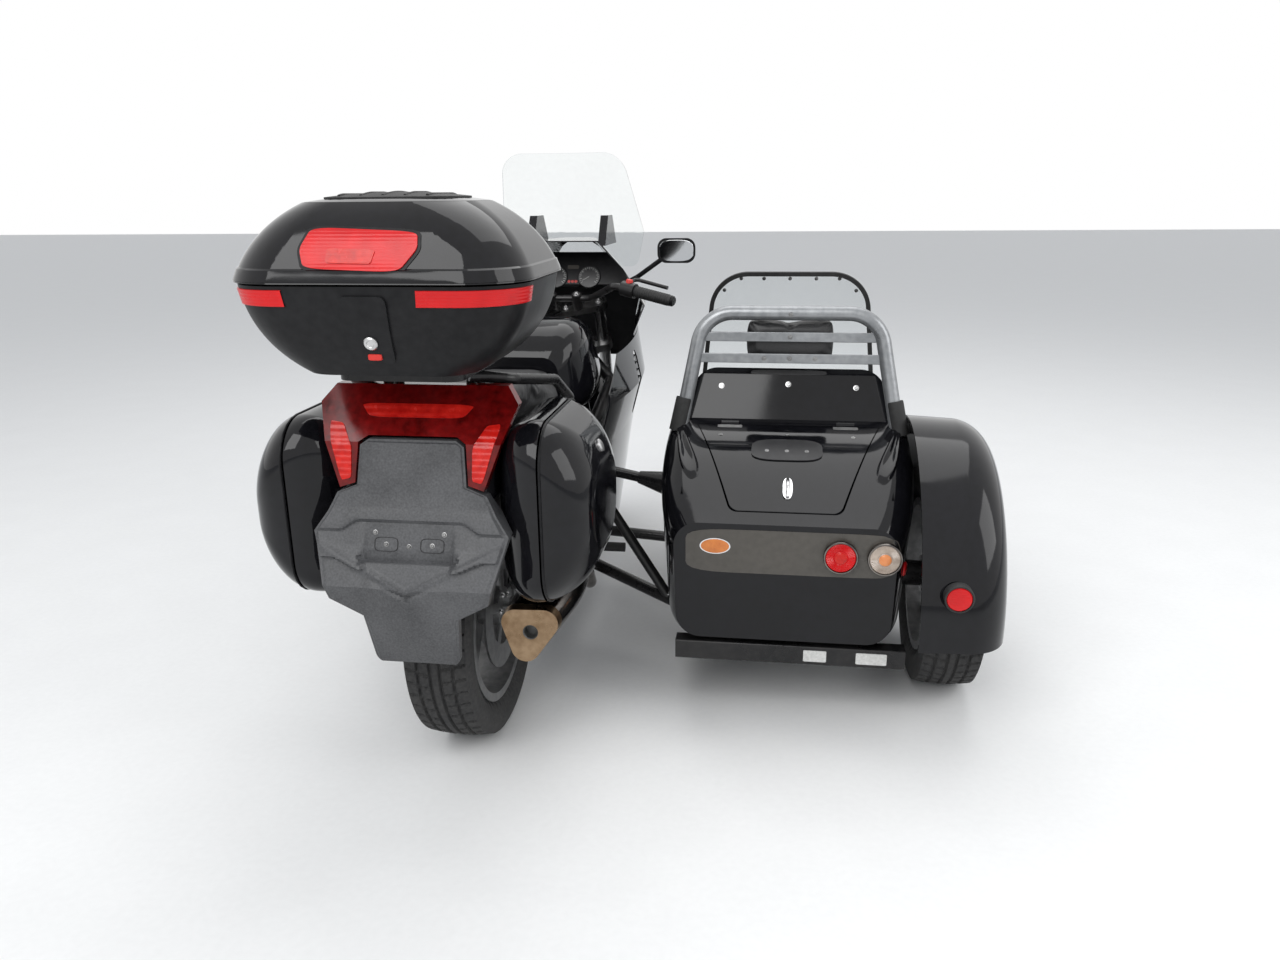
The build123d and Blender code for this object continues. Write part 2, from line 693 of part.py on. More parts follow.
STAY_X = 122.0
STAY_WIDTH = 26.0
STAY_TOP = 1206.0
with BuildPart() as upper_cowl:
    add(fairing_skin)
    with BuildSketch(along(BIKE_X, -CUT_HALF)):
        with BuildLine():
            Polyline(
                (COWL_REAR_LOW, PARTING_Z),
                (COWL_REAR_LOW, 892),
                (COWL_REAR_MIDDLE, 1020),
                (COWL_REAR_HIGH, COWL_TOP + 20),
                (CUT_FRONT, COWL_TOP + 20),
                (CUT_FRONT, NOSE_UNDER_Z),
                (1452, NOSE_UNDER_Z),
                (1400, PARTING_Z),
                close=True,
            )
        make_face()
    extrude(amount=2 * CUT_HALF, mode=Mode.INTERSECT)
    with BuildSketch(across(BIKE_X, CUT_FRONT)):
        add(lamp_outline(0))
    extrude(amount=CUT_FRONT - LAMP_FROM_Y, mode=Mode.SUBTRACT)
    for side in (-1, 1):
        with BuildSketch(along(BIKE_X, side * STAY_X - STAY_WIDTH / 2)):
            with BuildLine():
                Polyline((1130, 1110), (1196, STAY_TOP), (1300, STAY_TOP), (1400, 1110), close=True)
            make_face()
        extrude(amount=STAY_WIDTH)
    add(fairing_inner, mode=Mode.SUBTRACT)
    add(screen_volume(SCREEN_RADIUS + 300, SCREEN_RADIUS - SCREEN_WALL - SEAT_GAP), mode=Mode.SUBTRACT)
save(upper_cowl.part, "upper_cowl")

# Headlamp lens: follows the cowl's surface inside its opening
with BuildPart() as headlamp:
    add(fairing_outer - fairing_volume(LAMP_WALL + 3))
    with BuildSketch(across(BIKE_X, CUT_FRONT)):
        add(lamp_outline(-SEAM_GAP / 4))
    extrude(amount=CUT_FRONT - LAMP_FROM_Y, mode=Mode.INTERSECT)
save(headlamp.part, "headlamp")

# Fairing sides: the skin below the parting line, with a louvred vent in each
VENT_REAR = 800.0
VENT_FRONT = 905.0
VENT_LOW = 612.0
VENT_HIGH = 806.0
VENT_LEAN = 34.0
LOUVRE_COUNT = 9
LOUVRE_WALL = 5.0
LOUVRE_DEPTH = 16.0
SIDE_INNER = 150.0
SIDE_REACH = 250.0
SIDE_GAP = 3.0


def vent_outline(margin):
    """Side outline of the vent, leaning forward at the top."""
    with BuildSketch() as outline:
        with BuildLine():
            Polyline(
                (VENT_REAR - margin, VENT_LOW - margin),
                (VENT_FRONT - VENT_LEAN + margin, VENT_LOW - margin),
                (VENT_FRONT + margin, VENT_HIGH + margin),
                (VENT_REAR + VENT_LEAN - margin, VENT_HIGH + margin),
                close=True,
            )
        make_face()
        fillet(outline.vertices(), 30)
    return outline.sketch


louvre_skin = fairing_volume(LOUVRE_WALL / 2) - fairing_volume(LOUVRE_DEPTH)


def fairing_side(side):
    """One side panel of the fairing."""
    with BuildPart() as louvres:
        add(louvre_skin)
        with BuildSketch(along(BIKE_X, 0)):
            pitch = (VENT_HIGH - VENT_LOW) / LOUVRE_COUNT
            with Locations(((VENT_REAR + VENT_FRONT) / 2, (VENT_LOW + VENT_HIGH) / 2)):
                with GridLocations(0, pitch, 1, LOUVRE_COUNT - 1):
                    Rectangle(VENT_FRONT - VENT_REAR + 2 * VENT_LEAN, LOUVRE_WALL)
            add(vent_outline(FAIRING_WALL), mode=Mode.INTERSECT)
        extrude(amount=side * CUT_HALF, mode=Mode.INTERSECT)
    with BuildPart() as panel:
        add(fairing_skin)
        with BuildSketch(along(BIKE_X, side * SIDE_INNER)):
            with BuildLine():
                Polyline(
                    (FAIRING_REAR + 96, FAIRING_ROWS[0][0]),
                    (FAIRING_REAR + 26, 316),
                    (FAIRING_REAR + 26, 640),
                    (FAIRING_REAR + 70, PARTING_Z - SIDE_GAP - 90),
                    (620, PARTING_Z - SIDE_GAP),
                    (1400 - 4, PARTING_Z - SIDE_GAP),
                    (1448, NOSE_UNDER_Z),
                    (1320, 668),
                    (1212, 560),
                    (1120, FAIRING_ROWS[0][0]),
                    close=True,
                )
            make_face()
        extrude(amount=side * SIDE_REACH, mode=Mode.INTERSECT)
        with BuildSketch(along(BIKE_X, side * SIDE_INNER)):
            add(vent_outline(0))
        extrude(amount=side * SIDE_REACH, mode=Mode.SUBTRACT)
        add(louvres.part)
        if side > 0:
            strut_room = bike_rod(SIDE_STRUT_START, SIDE_STRUT_END, SIDE_STRUT_RADIUS + RUNNING_GAP)
            add(strut_room, mode=Mode.SUBTRACT)
    return panel.part


save(fairing_side(-1), "fairing_left")
save(fairing_side(1), "fairing_right")

# Instrument panel: a sloping board that fills the cowl behind the screen
BOARD_SKIN = SEAT_GAP
with BuildPart() as instrument_panel:
    add(fairing_volume(FAIRING_WALL + BOARD_SKIN))
    with BuildSketch(along(BIKE_X, -CUT_HALF)):
        with BuildLine():
            Polyline((1218, 976), (1268, 1082), (1296, 1070), (1252, 964), close=True)
        make_face()
    extrude(amount=2 * CUT_HALF, mode=Mode.INTERSECT)
save(instrument_panel.part, "instrument_panel")

# Lofted covers of the motorcycle: columns y, low z, high z, lower half width, upper half width, corner radius
TANK_ROWS = [
    (440, 690, 850, 130, 118, 44),
    (560, 680, 936, 206, 168, 70),
    (720, 680, 926, 202, 150, 70),
    (860, 690, 902, 176, 128, 60),
    (965, 712, 858, 126, 96, 44),
]
SADDLE_ROWS = [
    (-170, 786, 848, 96, 88, 22),
    (-30, 770, 862, 158, 146, 30),
    (130, 760, 850, 176, 160, 32),
    (250, 748, 806, 180, 164, 24),
    (360, 742, 802, 160, 144, 24),
    (434, 740, 826, 118, 104, 26),
]


def loft_along(centre_x, rows, inset=0, start_shift=0, end_shift=0):
    """A body lofted forward through upright rounded sections."""
    with BuildPart() as body:
        for index, (y, low, high, half_low, half_high, corner) in enumerate(rows):
            shift = start_shift if index == 0 else end_shift if index == len(rows) - 1 else 0
            with BuildSketch(across(centre_x, y + shift)):
                add(rounded_section(0, low + inset, high - inset, half_low - inset, half_high - inset,
                                    corner - inset))
        loft()
    return body.part


save(loft_along(BIKE_X, TANK_ROWS), "tank_cover")
save(loft_along(BIKE_X, SADDLE_ROWS), "saddle")

# Side covers under the saddle
COVER_WALL = 4.0
COVER_X = 166.0
with BuildPart() as side_covers:
    for side in (-1, 1):
        with BuildSketch(along(BIKE_X, side * COVER_X)) as cover_outline:
            with BuildLine():
                Polyline((34, 640), (110, 590), (290, 556), (392, 566), (392, 690), (34, 690), close=True)
            make_face()
            fillet(cover_outline.vertices(), 16)
        extrude(amount=side * COVER_WALL)
        with BuildSketch(along(BIKE_X, side * (RAIL_X + RAIL_RADIUS + SEAT_GAP))):
            with Locations((80, RAIL_Z), (250, RAIL_Z)):
                Circle(9)
        extrude(amount=side * (COVER_X - RAIL_X - RAIL_RADIUS))
save(side_covers.part, "side_covers")

# Tail cowl between the panniers, resting on the saddle rails
TAIL_HALF = 160.0
TAIL_TOP = 905.0
TAIL_FLOOR = RAIL_Z + RAIL_RADIUS + SEAT_GAP
# Rear face of the tail, shared by the lamp and the mudguard: y at the top, knee and foot
TAIL_TOP_Y = -226.0
TAIL_KNEE = (-306.0, 806.0)
TAIL_FOOT = (-330.0, 700.0)
TAIL_TOE_Y = -322.0
TAIL_CUT_HALF = 240.0
knee_y, knee_z = TAIL_KNEE
foot_y, foot_z = TAIL_FOOT
with BuildPart() as tail_cowl:
    with BuildSketch(along(BIKE_X, -TAIL_HALF)):
        with BuildLine():
            Polyline(
                (TAIL_TOP_Y, TAIL_TOP),
                TAIL_KNEE,
                TAIL_FOOT,
                (TAIL_TOE_Y, TAIL_FLOOR),
                (-180, TAIL_FLOOR),
                (60, TAIL_FLOOR),
                (84, 742),
                (-60, 744),
                (-178, 764),
                (-186, 868),
                close=True,
            )
        make_face()
    extrude(amount=2 * TAIL_HALF)
    chamfer(tail_cowl.faces().sort_by(Axis.X)[0].edges(), 12)
    chamfer(tail_cowl.faces().sort_by(Axis.X)[-1].edges(), 12)
save(tail_cowl.part, "tail_cowl")

# Tail lamp: one wide lens with a pointed ribbed lobe at each end
LENS_WALL = 26.0
with BuildPart() as tail_lamp:
    with BuildSketch(along(BIKE_X, -TAIL_CUT_HALF)):
        with BuildLine():
            Polyline(
                (TAIL_TOP_Y - SEAT_GAP, TAIL_TOP + 4),
                (TAIL_TOP_Y - LENS_WALL, TAIL_TOP + 4),
                (knee_y - LENS_WALL, knee_z),
                (foot_y - LENS_WALL, foot_z),
                (foot_y - SEAT_GAP, foot_z),
                (knee_y - SEAT_GAP, knee_z),
                close=True,
            )
        make_face()
    extrude(amount=2 * TAIL_CUT_HALF)
    with BuildSketch(across(BIKE_X, 0)):
        with BuildLine():
            Polyline(
                (-182, 909),
                (182, 909),
                (208, 876),
                (150, 716),
                (118, 726),
                (112, 806),
                (92, 818),
                (-92, 818),
                (-112, 806),
                (-118, 726),
                (-150, 716),
                (-208, 876),
                close=True,
            )
        make_face()
    extrude(amount=400, mode=Mode.INTERSECT)
save(tail_lamp.part, "tail_lamp")

# Rear mudguard: moulded panel with a beak under the plate recess and a flap behind the tyre
PANEL_WALL = 14.0
PANEL_TOP = 812.0
with BuildPart() as rear_mudguard:
    with BuildSketch(along(BIKE_X, -TAIL_CUT_HALF)):
        with BuildLine():
            Polyline(
                (knee_y - SEAT_GAP, PANEL_TOP),
                (foot_y - SEAT_GAP, foot_z),
                (TAIL_TOE_Y, TAIL_FLOOR - 12),
                (-366, 600),
                (-404, 526),
                (-372, 350),
                (-372 - PANEL_WALL, 350),
                (-424, 530),
                (-386, 604),
                (-360, 680),
                (knee_y - PANEL_WALL - 10, PANEL_TOP),
                close=True,
            )
        make_face()
    extrude(amount=2 * TAIL_CUT_HALF)
    with BuildSketch(across(BIKE_X, 0)) as panel_outline:
        with BuildLine():
            Polyline(
                (-88, 814),
                (88, 814),
                (108, 800),
                (114, 722),
                (156, 706),
                (176, 668),
                (203, 630),
                (166, 500),
                (100, 462),
                (88, 346),
                (-88, 346),
                (-100, 462),
                (-166, 500),
                (-203, 630),
                (-176, 668),
                (-156, 706),
                (-114, 722),
                (-108, 800),
                close=True,
            )
        make_face()
        fillet(panel_outline.vertices().group_by(Axis.Y)[0], 24)
    extrude(amount=500, mode=Mode.INTERSECT)
    with BuildSketch(across(BIKE_X, -376 - PANEL_WALL + 2)):
        with Locations((0, 606)):
            RectangleRounded(206, 62, 12)
    extrude(amount=40, mode=Mode.SUBTRACT)
save(rear_mudguard.part, "rear_mudguard")

# Hinges: round knuckles on short feet; each lid turns about the knuckles of its base
KNUCKLE_RADIUS = 4.0
KNUCKLE_LENGTH = 46.0
KNUCKLE_FOOT = 14.0


def knuckle_row(plane_at, centres, foot_low, foot_high, foot_back, foot_front, height, forward):
    """Knuckles on planes square to the hinge: feet from foot_low to foot_high and foot_back to foot_front."""
    with BuildPart() as row:
        for centre in centres:
            with BuildSketch(plane_at(centre - KNUCKLE_LENGTH / 2)):
                with Locations((forward, height)):
                    Circle(KNUCKLE_RADIUS)
                with Locations(((foot_back + foot_front) / 2, (foot_low + foot_high) / 2)):
                    Rectangle(foot_front - foot_back, foot_high - foot_low)
            extrude(amount=KNUCKLE_LENGTH)
    return row.part


# Top box: hollow lower shell and a domed lid hinged at its front edge
BOX_Y = -294.0
BOX_FLOOR_Z = 962.0
BOX_SEAM_Z = 1128.0
BOX_TOP_Z = 1268.0
BOX_WALL = 4.0
# Columns: height, width, length, corner radius
BOX_ROWS = [
    (BOX_FLOOR_Z, 330, 300, 70),
    (1030, 478, 376, 96),
    (BOX_SEAM_Z, 548, 420, 110),
]
LID_ROWS = [
    (BOX_SEAM_Z + SEAM_GAP, 562, 430, 114),
    (1196, 500, 382, 110),
    (BOX_TOP_Z, 330, 262, 90),
]


def loft_upward(centre_y, rows, inset, low_shift, high_shift):
    """A body lofted upward through flat rounded rectangles on the motorcycle's centre plane."""
    with BuildPart() as body:
        for index, (z, width, length, corner) in enumerate(rows):
            shift = low_shift if index == 0 else high_shift if index == len(rows) - 1 else 0
            with BuildSketch(level(BIKE_X, z + shift)):
                with Locations((0, centre_y)):
                    RectangleRounded(width - 2 * inset, length - 2 * inset, corner - inset)
        loft()
    return body.part


BOX_HINGE_Y = -72.0
BOX_HINGE_Z = 1134.0
BOX_HINGE_X = 120.0
with BuildPart() as top_box_base:
    add(loft_upward(BOX_Y, BOX_ROWS, 0, 0, 0))
    add(knuckle_row(
        lambda x: along(BIKE_X, x), (-BOX_HINGE_X, BOX_HINGE_X),
        BOX_SEAM_Z - KNUCKLE_FOOT, BOX_HINGE_Z - KNUCKLE_RADIUS + 1,
        BOX_HINGE_Y - KNUCKLE_RADIUS, BOX_HINGE_Y + KNUCKLE_RADIUS,
        BOX_HINGE_Z, BOX_HINGE_Y,
    ))
    add(knuckle_row(
        lambda x: along(BIKE_X, x), (-BOX_HINGE_X, BOX_HINGE_X),
        BOX_SEAM_Z - KNUCKLE_FOOT, BOX_SEAM_Z - KNUCKLE_FOOT / 2,
        BOX_Y + BOX_ROWS[-1][2] / 2 - 12, BOX_HINGE_Y,
        BOX_SEAM_Z - KNUCKLE_FOOT + KNUCKLE_RADIUS, BOX_HINGE_Y,
    ))
    add(loft_upward(BOX_Y, BOX_ROWS, BOX_WALL, BOX_WALL, 3), mode=Mode.SUBTRACT)
save(top_box_base.part, "top_box_base")

with BuildPart() as top_box_lid:
    add(loft_upward(BOX_Y, LID_ROWS, 0, 0, 0))
    add(loft_upward(BOX_Y, LID_ROWS, BOX_WALL, -3, -BOX_WALL), mode=Mode.SUBTRACT)
save(top_box_lid.part, "top_box_lid")

# Panniers: D-shaped boxes parted along a seam, the outer half being the lid
PANNIER_INNER = TAIL_HALF + SEAT_GAP
PANNIER_SEAM = 262.0
PANNIER_OUTER = 362.0
PANNIER_WALL = 4.0
# Columns: x, rear y, front y, low z, high z, corner radius
PANNIER_ROWS = [
    (PANNIER_INNER, -276, 6, 490, 790, 60),
    (PANNIER_SEAM, -366, 18, 462, 846, 90),
    (332, -346, 0, 500, 800, 110),
    (PANNIER_OUTER, -300, -44, 560, 736, 80),
]


def pannier_section(rear, front, low, high, corner, inset):
    with BuildSketch() as section:
        with Locations(((rear + front) / 2, (low + high) / 2)):
            RectangleRounded(front - rear - 2 * inset, high - low - 2 * inset, corner - inset)
    return section.sketch


def pannier_volume(side, inset):
    """The pannier's outer form, moved inwards by the inset."""
    with BuildPart() as volume:
        for index, (x, rear, front, low, high, corner) in enumerate(PANNIER_ROWS):
            shift = inset if index == 0 else -inset if index == len(PANNIER_ROWS) - 1 else 0
            with BuildSketch(along(BIKE_X, side * (x + shift))):
                add(pannier_section(rear, front, low, high, corner, inset))
        loft()
    return volume.part


PANNIER_HINGE_Z = 457.0
PANNIER_HINGE_Y = (-230.0, -118.0)
for side, side_name in ((-1, "left"), (1, "right")):
    pannier_skin = pannier_volume(side, 0) - pannier_volume(side, PANNIER_WALL)
    for part_name, near, far in (
        ("base", PANNIER_INNER - 10, PANNIER_SEAM - SEAM_GAP / 2),
        ("lid", PANNIER_SEAM + SEAM_GAP / 2, PANNIER_OUTER + 10),
    ):
        with BuildPart() as pannier_half:
            add(pannier_skin)
            with BuildSketch(along(BIKE_X, side * near)):
                with Locations((-180, 650)):
                    Rectangle(600, 600)
            extrude(amount=side * (far - near), mode=Mode.INTERSECT)
            if part_name == "base":
                for hinge_y in PANNIER_HINGE_Y:
                    knuckle_x = side * PANNIER_SEAM
                    foot_x = side * (PANNIER_SEAM - SEAM_GAP / 2 - 5)
                    with BuildSketch(across(BIKE_X, hinge_y + KNUCKLE_LENGTH / 2)):
                        with Locations((knuckle_x, PANNIER_HINGE_Z)):
                            Circle(KNUCKLE_RADIUS)
                        with Locations((foot_x, PANNIER_HINGE_Z + 4)):
                            Rectangle(10, 12)
                    extrude(amount=KNUCKLE_LENGTH)
        save(pannier_half.part, f"pannier_{side_name}_{part_name}")

# Grab rails with the luggage rack under the top box
GRAB_RADIUS = 12.0
RACK_Z = 938.0
RACK_WALL = BOX_FLOOR_Z - RACK_Z - SEAT_GAP
with BuildPart() as grab_rails:
    for side in (-1, 1):
        add(bike_tube(
            [
                (side * 96, -236, 926),
                (side * 172, -190, 912),
                (side * 222, -20, 880),
                (side * 226, 110, 812),
                (side * 176, 176, 744),
            ],
            GRAB_RADIUS,
            36,
        ))
        add(bike_rod((side * 176, 176, 744), (side * RAIL_X, 176, RAIL_Z), GRAB_RADIUS - 2))
    with BuildSketch(level(BIKE_X, RACK_Z)):
        with Locations((0, -250)):
            RectangleRounded(250, 250, 30)
            with GridLocations(120, 120, 2, 2):
                RectangleRounded(76, 76, 14, mode=Mode.SUBTRACT)
    extrude(amount=RACK_WALL)
    for post_x in (-90, 90):
        for post_y, post_foot in ((-150, 862 + 20), (-206, 892)):
            with BuildSketch(level(BIKE_X, post_foot)):
                with Locations((post_x, post_y)):
                    Circle(11)
            extrude(amount=RACK_Z - post_foot)
    add(tail_cowl.part, mode=Mode.SUBTRACT)
    add(motorcycle_frame.part, mode=Mode.SUBTRACT)
save(grab_rails.part, "grab_rails")

# Exhaust: two pipes under the engine into a three-cornered silencer on the right
PIPE_RADIUS = 19.0
MUFFLER_REAR = -236.0
MUFFLER_FRONT = 150.0
CAP_LENGTH = 26.0
TIP_RADIUS = 17.0
PIPE_X = 62.0
PIPE_Z = 176.0
PIPE_BEND = 44.0
HEADER_X = 45.0
# Each pipe up to its cylinder: y and z of the three last points
HEADER_FOOT = (1094.0, 290.0)
HEADER_BEND = (1070.0, 400.0)
HEADER_PORT = (970.0, 430.0)
# Columns: y, centre x, centre z, scale of the section
MUFFLER_ROWS = [
    (MUFFLER_REAR, 210, 370, 1.38),
    (40, 224, 376, 1.24),
    (MUFFLER_FRONT, 216, 372, 0.56),
]


def muffler_section(x, z, scale):
    """Triangle with its flat side up, rounded at the corners."""
    with BuildSketch() as section:
        with BuildLine():
            Polyline((x - 58 * scale, z + 38 * scale), (x + 66 * scale, z + 42 * scale),
                     (x - 20 * scale, z - 78 * scale), close=True)
        make_face()
        fillet(section.vertices(), 24 * scale)
    return section.sketch


with BuildPart() as silencer:
    for y, x, z, scale in MUFFLER_ROWS:
        with BuildSketch(across(BIKE_X, y)):
            add(muffler_section(x, z, scale))
    loft()
    add(bike_tube(
        [
            (MUFFLER_ROWS[-1][1], MUFFLER_FRONT - 20, MUFFLER_ROWS[-1][2]),
            (208, 290, 336),
            (200, 420, 205),
            (150, 560, PIPE_Z),
            (PIPE_X, 680, PIPE_Z),
            (PIPE_X, 1000, PIPE_Z),
            (HEADER_X, *HEADER_FOOT),
            (HEADER_X, *HEADER_BEND),
            (HEADER_X, *HEADER_PORT),
        ],
        PIPE_RADIUS,
        PIPE_BEND,
    ))
    add(bike_tube(
        [
            (PIPE_X, 730, PIPE_Z),
            (-HEADER_X, 850, PIPE_Z),
            (-HEADER_X, 1000, PIPE_Z),
            (-HEADER_X, *HEADER_FOOT),
            (-HEADER_X, *HEADER_BEND),
            (-HEADER_X, *HEADER_PORT),
        ],
        PIPE_RADIUS,
        PIPE_BEND,
    ))
    add(engine_block.part, mode=Mode.SUBTRACT)
save(silencer.part, "silencer")

with BuildPart() as silencer_cap:
    cap_y, cap_x, cap_z, cap_scale = MUFFLER_ROWS[0]
    with BuildSketch(across(BIKE_X, cap_y)):
        add(muffler_section(cap_x, cap_z, cap_scale * 1.04))
    extrude(amount=CAP_LENGTH, taper=6)
    with BuildSketch(across(BIKE_X, cap_y - CAP_LENGTH)):
        with Locations((cap_x - 4, cap_z + 2)):
            Circle(TIP_RADIUS)
    extrude(amount=-CAP_LENGTH, mode=Mode.SUBTRACT)
save(silencer_cap.part, "silencer_cap")

# Footpegs: rubber blocks on pins outside the pivot plates
PEG_RADIUS = 13.0
PEG_LENGTH = 104.0
PEG_PIN_RADIUS = 7.0
PEG_OFFSET = 26.0
RIDER_PEG_Y = 390.0
RIDER_PEG_Z = 328.0
with BuildPart() as footpegs:
    for side in (-1, 1):
        plate_face = PLATE_INNER + PLATE_WALL
        peg_root = (side * (plate_face + PEG_OFFSET), RIDER_PEG_Y, RIDER_PEG_Z)
        peg_end = (side * (plate_face + PEG_OFFSET + PEG_LENGTH), RIDER_PEG_Y, RIDER_PEG_Z)
        add(bike_rod((side * plate_face, RIDER_PEG_Y, RIDER_PEG_Z), peg_end, PEG_PIN_RADIUS))
        add(bike_rod(peg_root, peg_end, PEG_RADIUS))
save(footpegs.part, "footpegs")

# Mirrors on slim stalks from the cowl's shoulders
MIRROR_X = 372.0
MIRROR_Y = 1150.0
MIRROR_Z = 1094.0
with BuildPart() as mirrors:
    for side in (-1, 1):
        with BuildSketch(across(BIKE_X, MIRROR_Y - 20)):
            with Locations((side * MIRROR_X, MIRROR_Z)):
                RectangleRounded(126, 80, 30)
        extrude(amount=-44, taper=22)
        add(bike_tube(
            [(side * 196, 1178, 985), (side * 236, 1178, 1006), (side * 330, 1160, 1072),
             (side * 352, 1152, 1088)],
            8,
            24,
        ))
    add(fairing_outer, mode=Mode.SUBTRACT)
save(mirrors.part, "mirrors")

# Sidecar body: one lofted hull skin, parted into tail, middle tub and nose
CAR_X = BIKE_X + BODY_OFFSET
HULL_WALL = 6.0
# Columns: y, low z, high z, lower half width, upper half width, corner radius
HULL_ROWS = [
    (72, 222, 520, 258, 268, 60),
    (190, 208, 596, 286, 312, 66),
    (430, 206, 694, 292, 326, 70),
    (800, 206, 704, 292, 328, 70),
    (1140, 210, 694, 280, 306, 70),
    (1480, 240, 560, 216, 232, 66),
    (1742, 300, 428, 108, 116, 50),
]
TAIL_END_Y = 470.0
NOSE_START_Y = 1130.0
FLOOR_TOP = 262.0
COCKPIT_HALF = 252.0
COCKPIT_REAR = 470.0
COCKPIT_FRONT = 1092.0
COCKPIT_CORNER = 90.0
hull_outer = loft_along(CAR_X, HULL_ROWS)
hull_inner = loft_along(CAR_X, HULL_ROWS, HULL_WALL, HULL_WALL, -HULL_WALL)
hull_skin = hull_outer - hull_inner

# Boot lid outline on the rear deck, wide at the hinge and narrow at the latch
BOOT_REAR_Y = 104.0
BOOT_HINGE_Y = 396.0
BOOT_REAR_HALF = 134.0
BOOT_HINGE_HALF = 238.0
BOOT_CORNER = 26.0


def boot_outline(margin):
    """Plan outline of the boot lid, shrunk by the margin."""
    with BuildSketch() as outline:
        with BuildLine():
            Polyline(
                (-BOOT_REAR_HALF + margin, BOOT_REAR_Y + margin),
                (BOOT_REAR_HALF - margin, BOOT_REAR_Y + margin),
                (BOOT_HINGE_HALF - margin, BOOT_HINGE_Y - margin),
                (-BOOT_HINGE_HALF + margin, BOOT_HINGE_Y - margin),
                close=True,
            )
        make_face()
        fillet(outline.vertices().group_by(Axis.Y)[0], BOOT_CORNER)
    return outline.sketch


# Cuts that clear the hull: low and high z, half width, and how far forward they reach
HULL_CUT_LOW = 150.0
HULL_CUT_HIGH = 900.0
HULL_CUT_HALF = 500.0
HULL_CUT_FRONT = 1900.0
DECK_CUT_LOW = 450.0
DECK_CUT_HEIGHT = 400.0


def hull_slice(y_from, y_to, z_from=HULL_CUT_LOW, z_to=HULL_CUT_HIGH, x_from=-HULL_CUT_HALF, x_to=HULL_CUT_HALF):
    """The hull skin inside one box."""
    with BuildPart() as piece:
        add(hull_skin)
        with BuildSketch(level(CAR_X, z_from)):
            with Locations(((x_from + x_to) / 2, (y_from + y_to) / 2)):
                Rectangle(x_to - x_from, y_to - y_from)
        extrude(amount=z_to - z_from, mode=Mode.INTERSECT)
    return piece.part


BOOT_AXIS_Y = 402.0
BOOT_AXIS_Z = 692.0
BOOT_AXIS_X = 150.0
with BuildPart() as sidecar_tail:
    add(hull_slice(0, TAIL_END_Y))
    with BuildSketch(level(CAR_X, DECK_CUT_LOW)):
        add(boot_outline(0))
    extrude(amount=DECK_CUT_HEIGHT, mode=Mode.SUBTRACT)
    add(knuckle_row(
        lambda x: along(CAR_X, x), (-BOOT_AXIS_X, BOOT_AXIS_X),
        BOOT_AXIS_Z - KNUCKLE_FOOT, BOOT_AXIS_Z,
        BOOT_AXIS_Y - KNUCKLE_RADIUS, BOOT_AXIS_Y + KNUCKLE_RADIUS,
        BOOT_AXIS_Z, BOOT_AXIS_Y,
    ))
    with BuildSketch(across(CAR_X, TAIL_END_Y - HULL_WALL)):
        _, low, high, half_low, half_high, _ = HULL_ROWS[2]
        add(rounded_section(0, low + HULL_WALL / 2, high - 4, half_low - HULL_WALL / 2,
                            half_high - HULL_WALL / 2, 66))
    extrude(amount=HULL_WALL)
save(sidecar_tail.part, "sidecar_tail")

with BuildPart() as boot_lid:
    add(hull_slice(0, TAIL_END_Y, DECK_CUT_LOW))
    with BuildSketch(level(CAR_X, DECK_CUT_LOW)):
        add(boot_outline(SEAM_GAP))
    extrude(amount=DECK_CUT_HEIGHT, mode=Mode.INTERSECT)
save(boot_lid.part, "boot_lid")

save(hull_slice(NOSE_START_Y, HULL_CUT_FRONT), "sidecar_nose")

with BuildPart() as tub_opening:
    with BuildSketch(level(CAR_X, 620)):
        with Locations((0, (COCKPIT_REAR + COCKPIT_FRONT) / 2)):
            RectangleRounded(2 * COCKPIT_HALF, COCKPIT_FRONT - COCKPIT_REAR, COCKPIT_CORNER)
        with Locations((0, COCKPIT_REAR + COCKPIT_CORNER / 2)):
            Rectangle(2 * COCKPIT_HALF, COCKPIT_CORNER)
    extrude(amount=200)

save(hull_slice(TAIL_END_Y, NOSE_START_Y, z_to=FLOOR_TOP), "sidecar_floor")
for side_name, x_from, x_to in (("left", -HULL_CUT_HALF, 0), ("right", 0, HULL_CUT_HALF)):
    with BuildPart() as tub_side:
        add(hull_slice(TAIL_END_Y, NOSE_START_Y, FLOOR_TOP, HULL_CUT_HIGH, x_from, x_to))
        add(tub_opening.part, mode=Mode.SUBTRACT)
    save(tub_side.part, f"sidecar_{side_name}_side")

# Bulkhead behind the sidecar seat: a leaning panel with a rounded top, its edges turned forward
HEAD_PANEL_Y = 424.0
HEAD_PANEL_LEAN = 24.0
HEAD_PANEL_FOOT_HALF = 272.0
HEAD_PANEL_TOP_HALF = 246.0
HEAD_PANEL_HEIGHT = 158.0
HEAD_PANEL_CORNER = 66.0
HEAD_PANEL_DEPTH = 64.0
HEAD_PANEL_WALL = 5.0
DECK_Z = 690.0
lean_sine = math.sin(math.radians(HEAD_PANEL_LEAN))
lean_cosine = math.cos(math.radians(HEAD_PANEL_LEAN))
HEAD_PANEL = Plane(
    origin=place(CAR_X, 0, HEAD_PANEL_Y, DECK_Z - 12),
    x_dir=(1, 0, 0),
    z_dir=(0, -lean_cosine, lean_sine),
)


def head_panel_outline(margin):
    with BuildSketch() as outline:
        with BuildLine():
            Polyline(
                (-HEAD_PANEL_FOOT_HALF + margin, -30),
                (HEAD_PANEL_FOOT_HALF - margin, -30),
                (HEAD_PANEL_TOP_HALF - margin, HEAD_PANEL_HEIGHT - margin),
                (-HEAD_PANEL_TOP_HALF + margin, HEAD_PANEL_HEIGHT - margin),
                close=True,
            )
        make_face()
        fillet(outline.vertices().group_by(Axis.Y)[-1], HEAD_PANEL_CORNER - margin)
    return outline.sketch


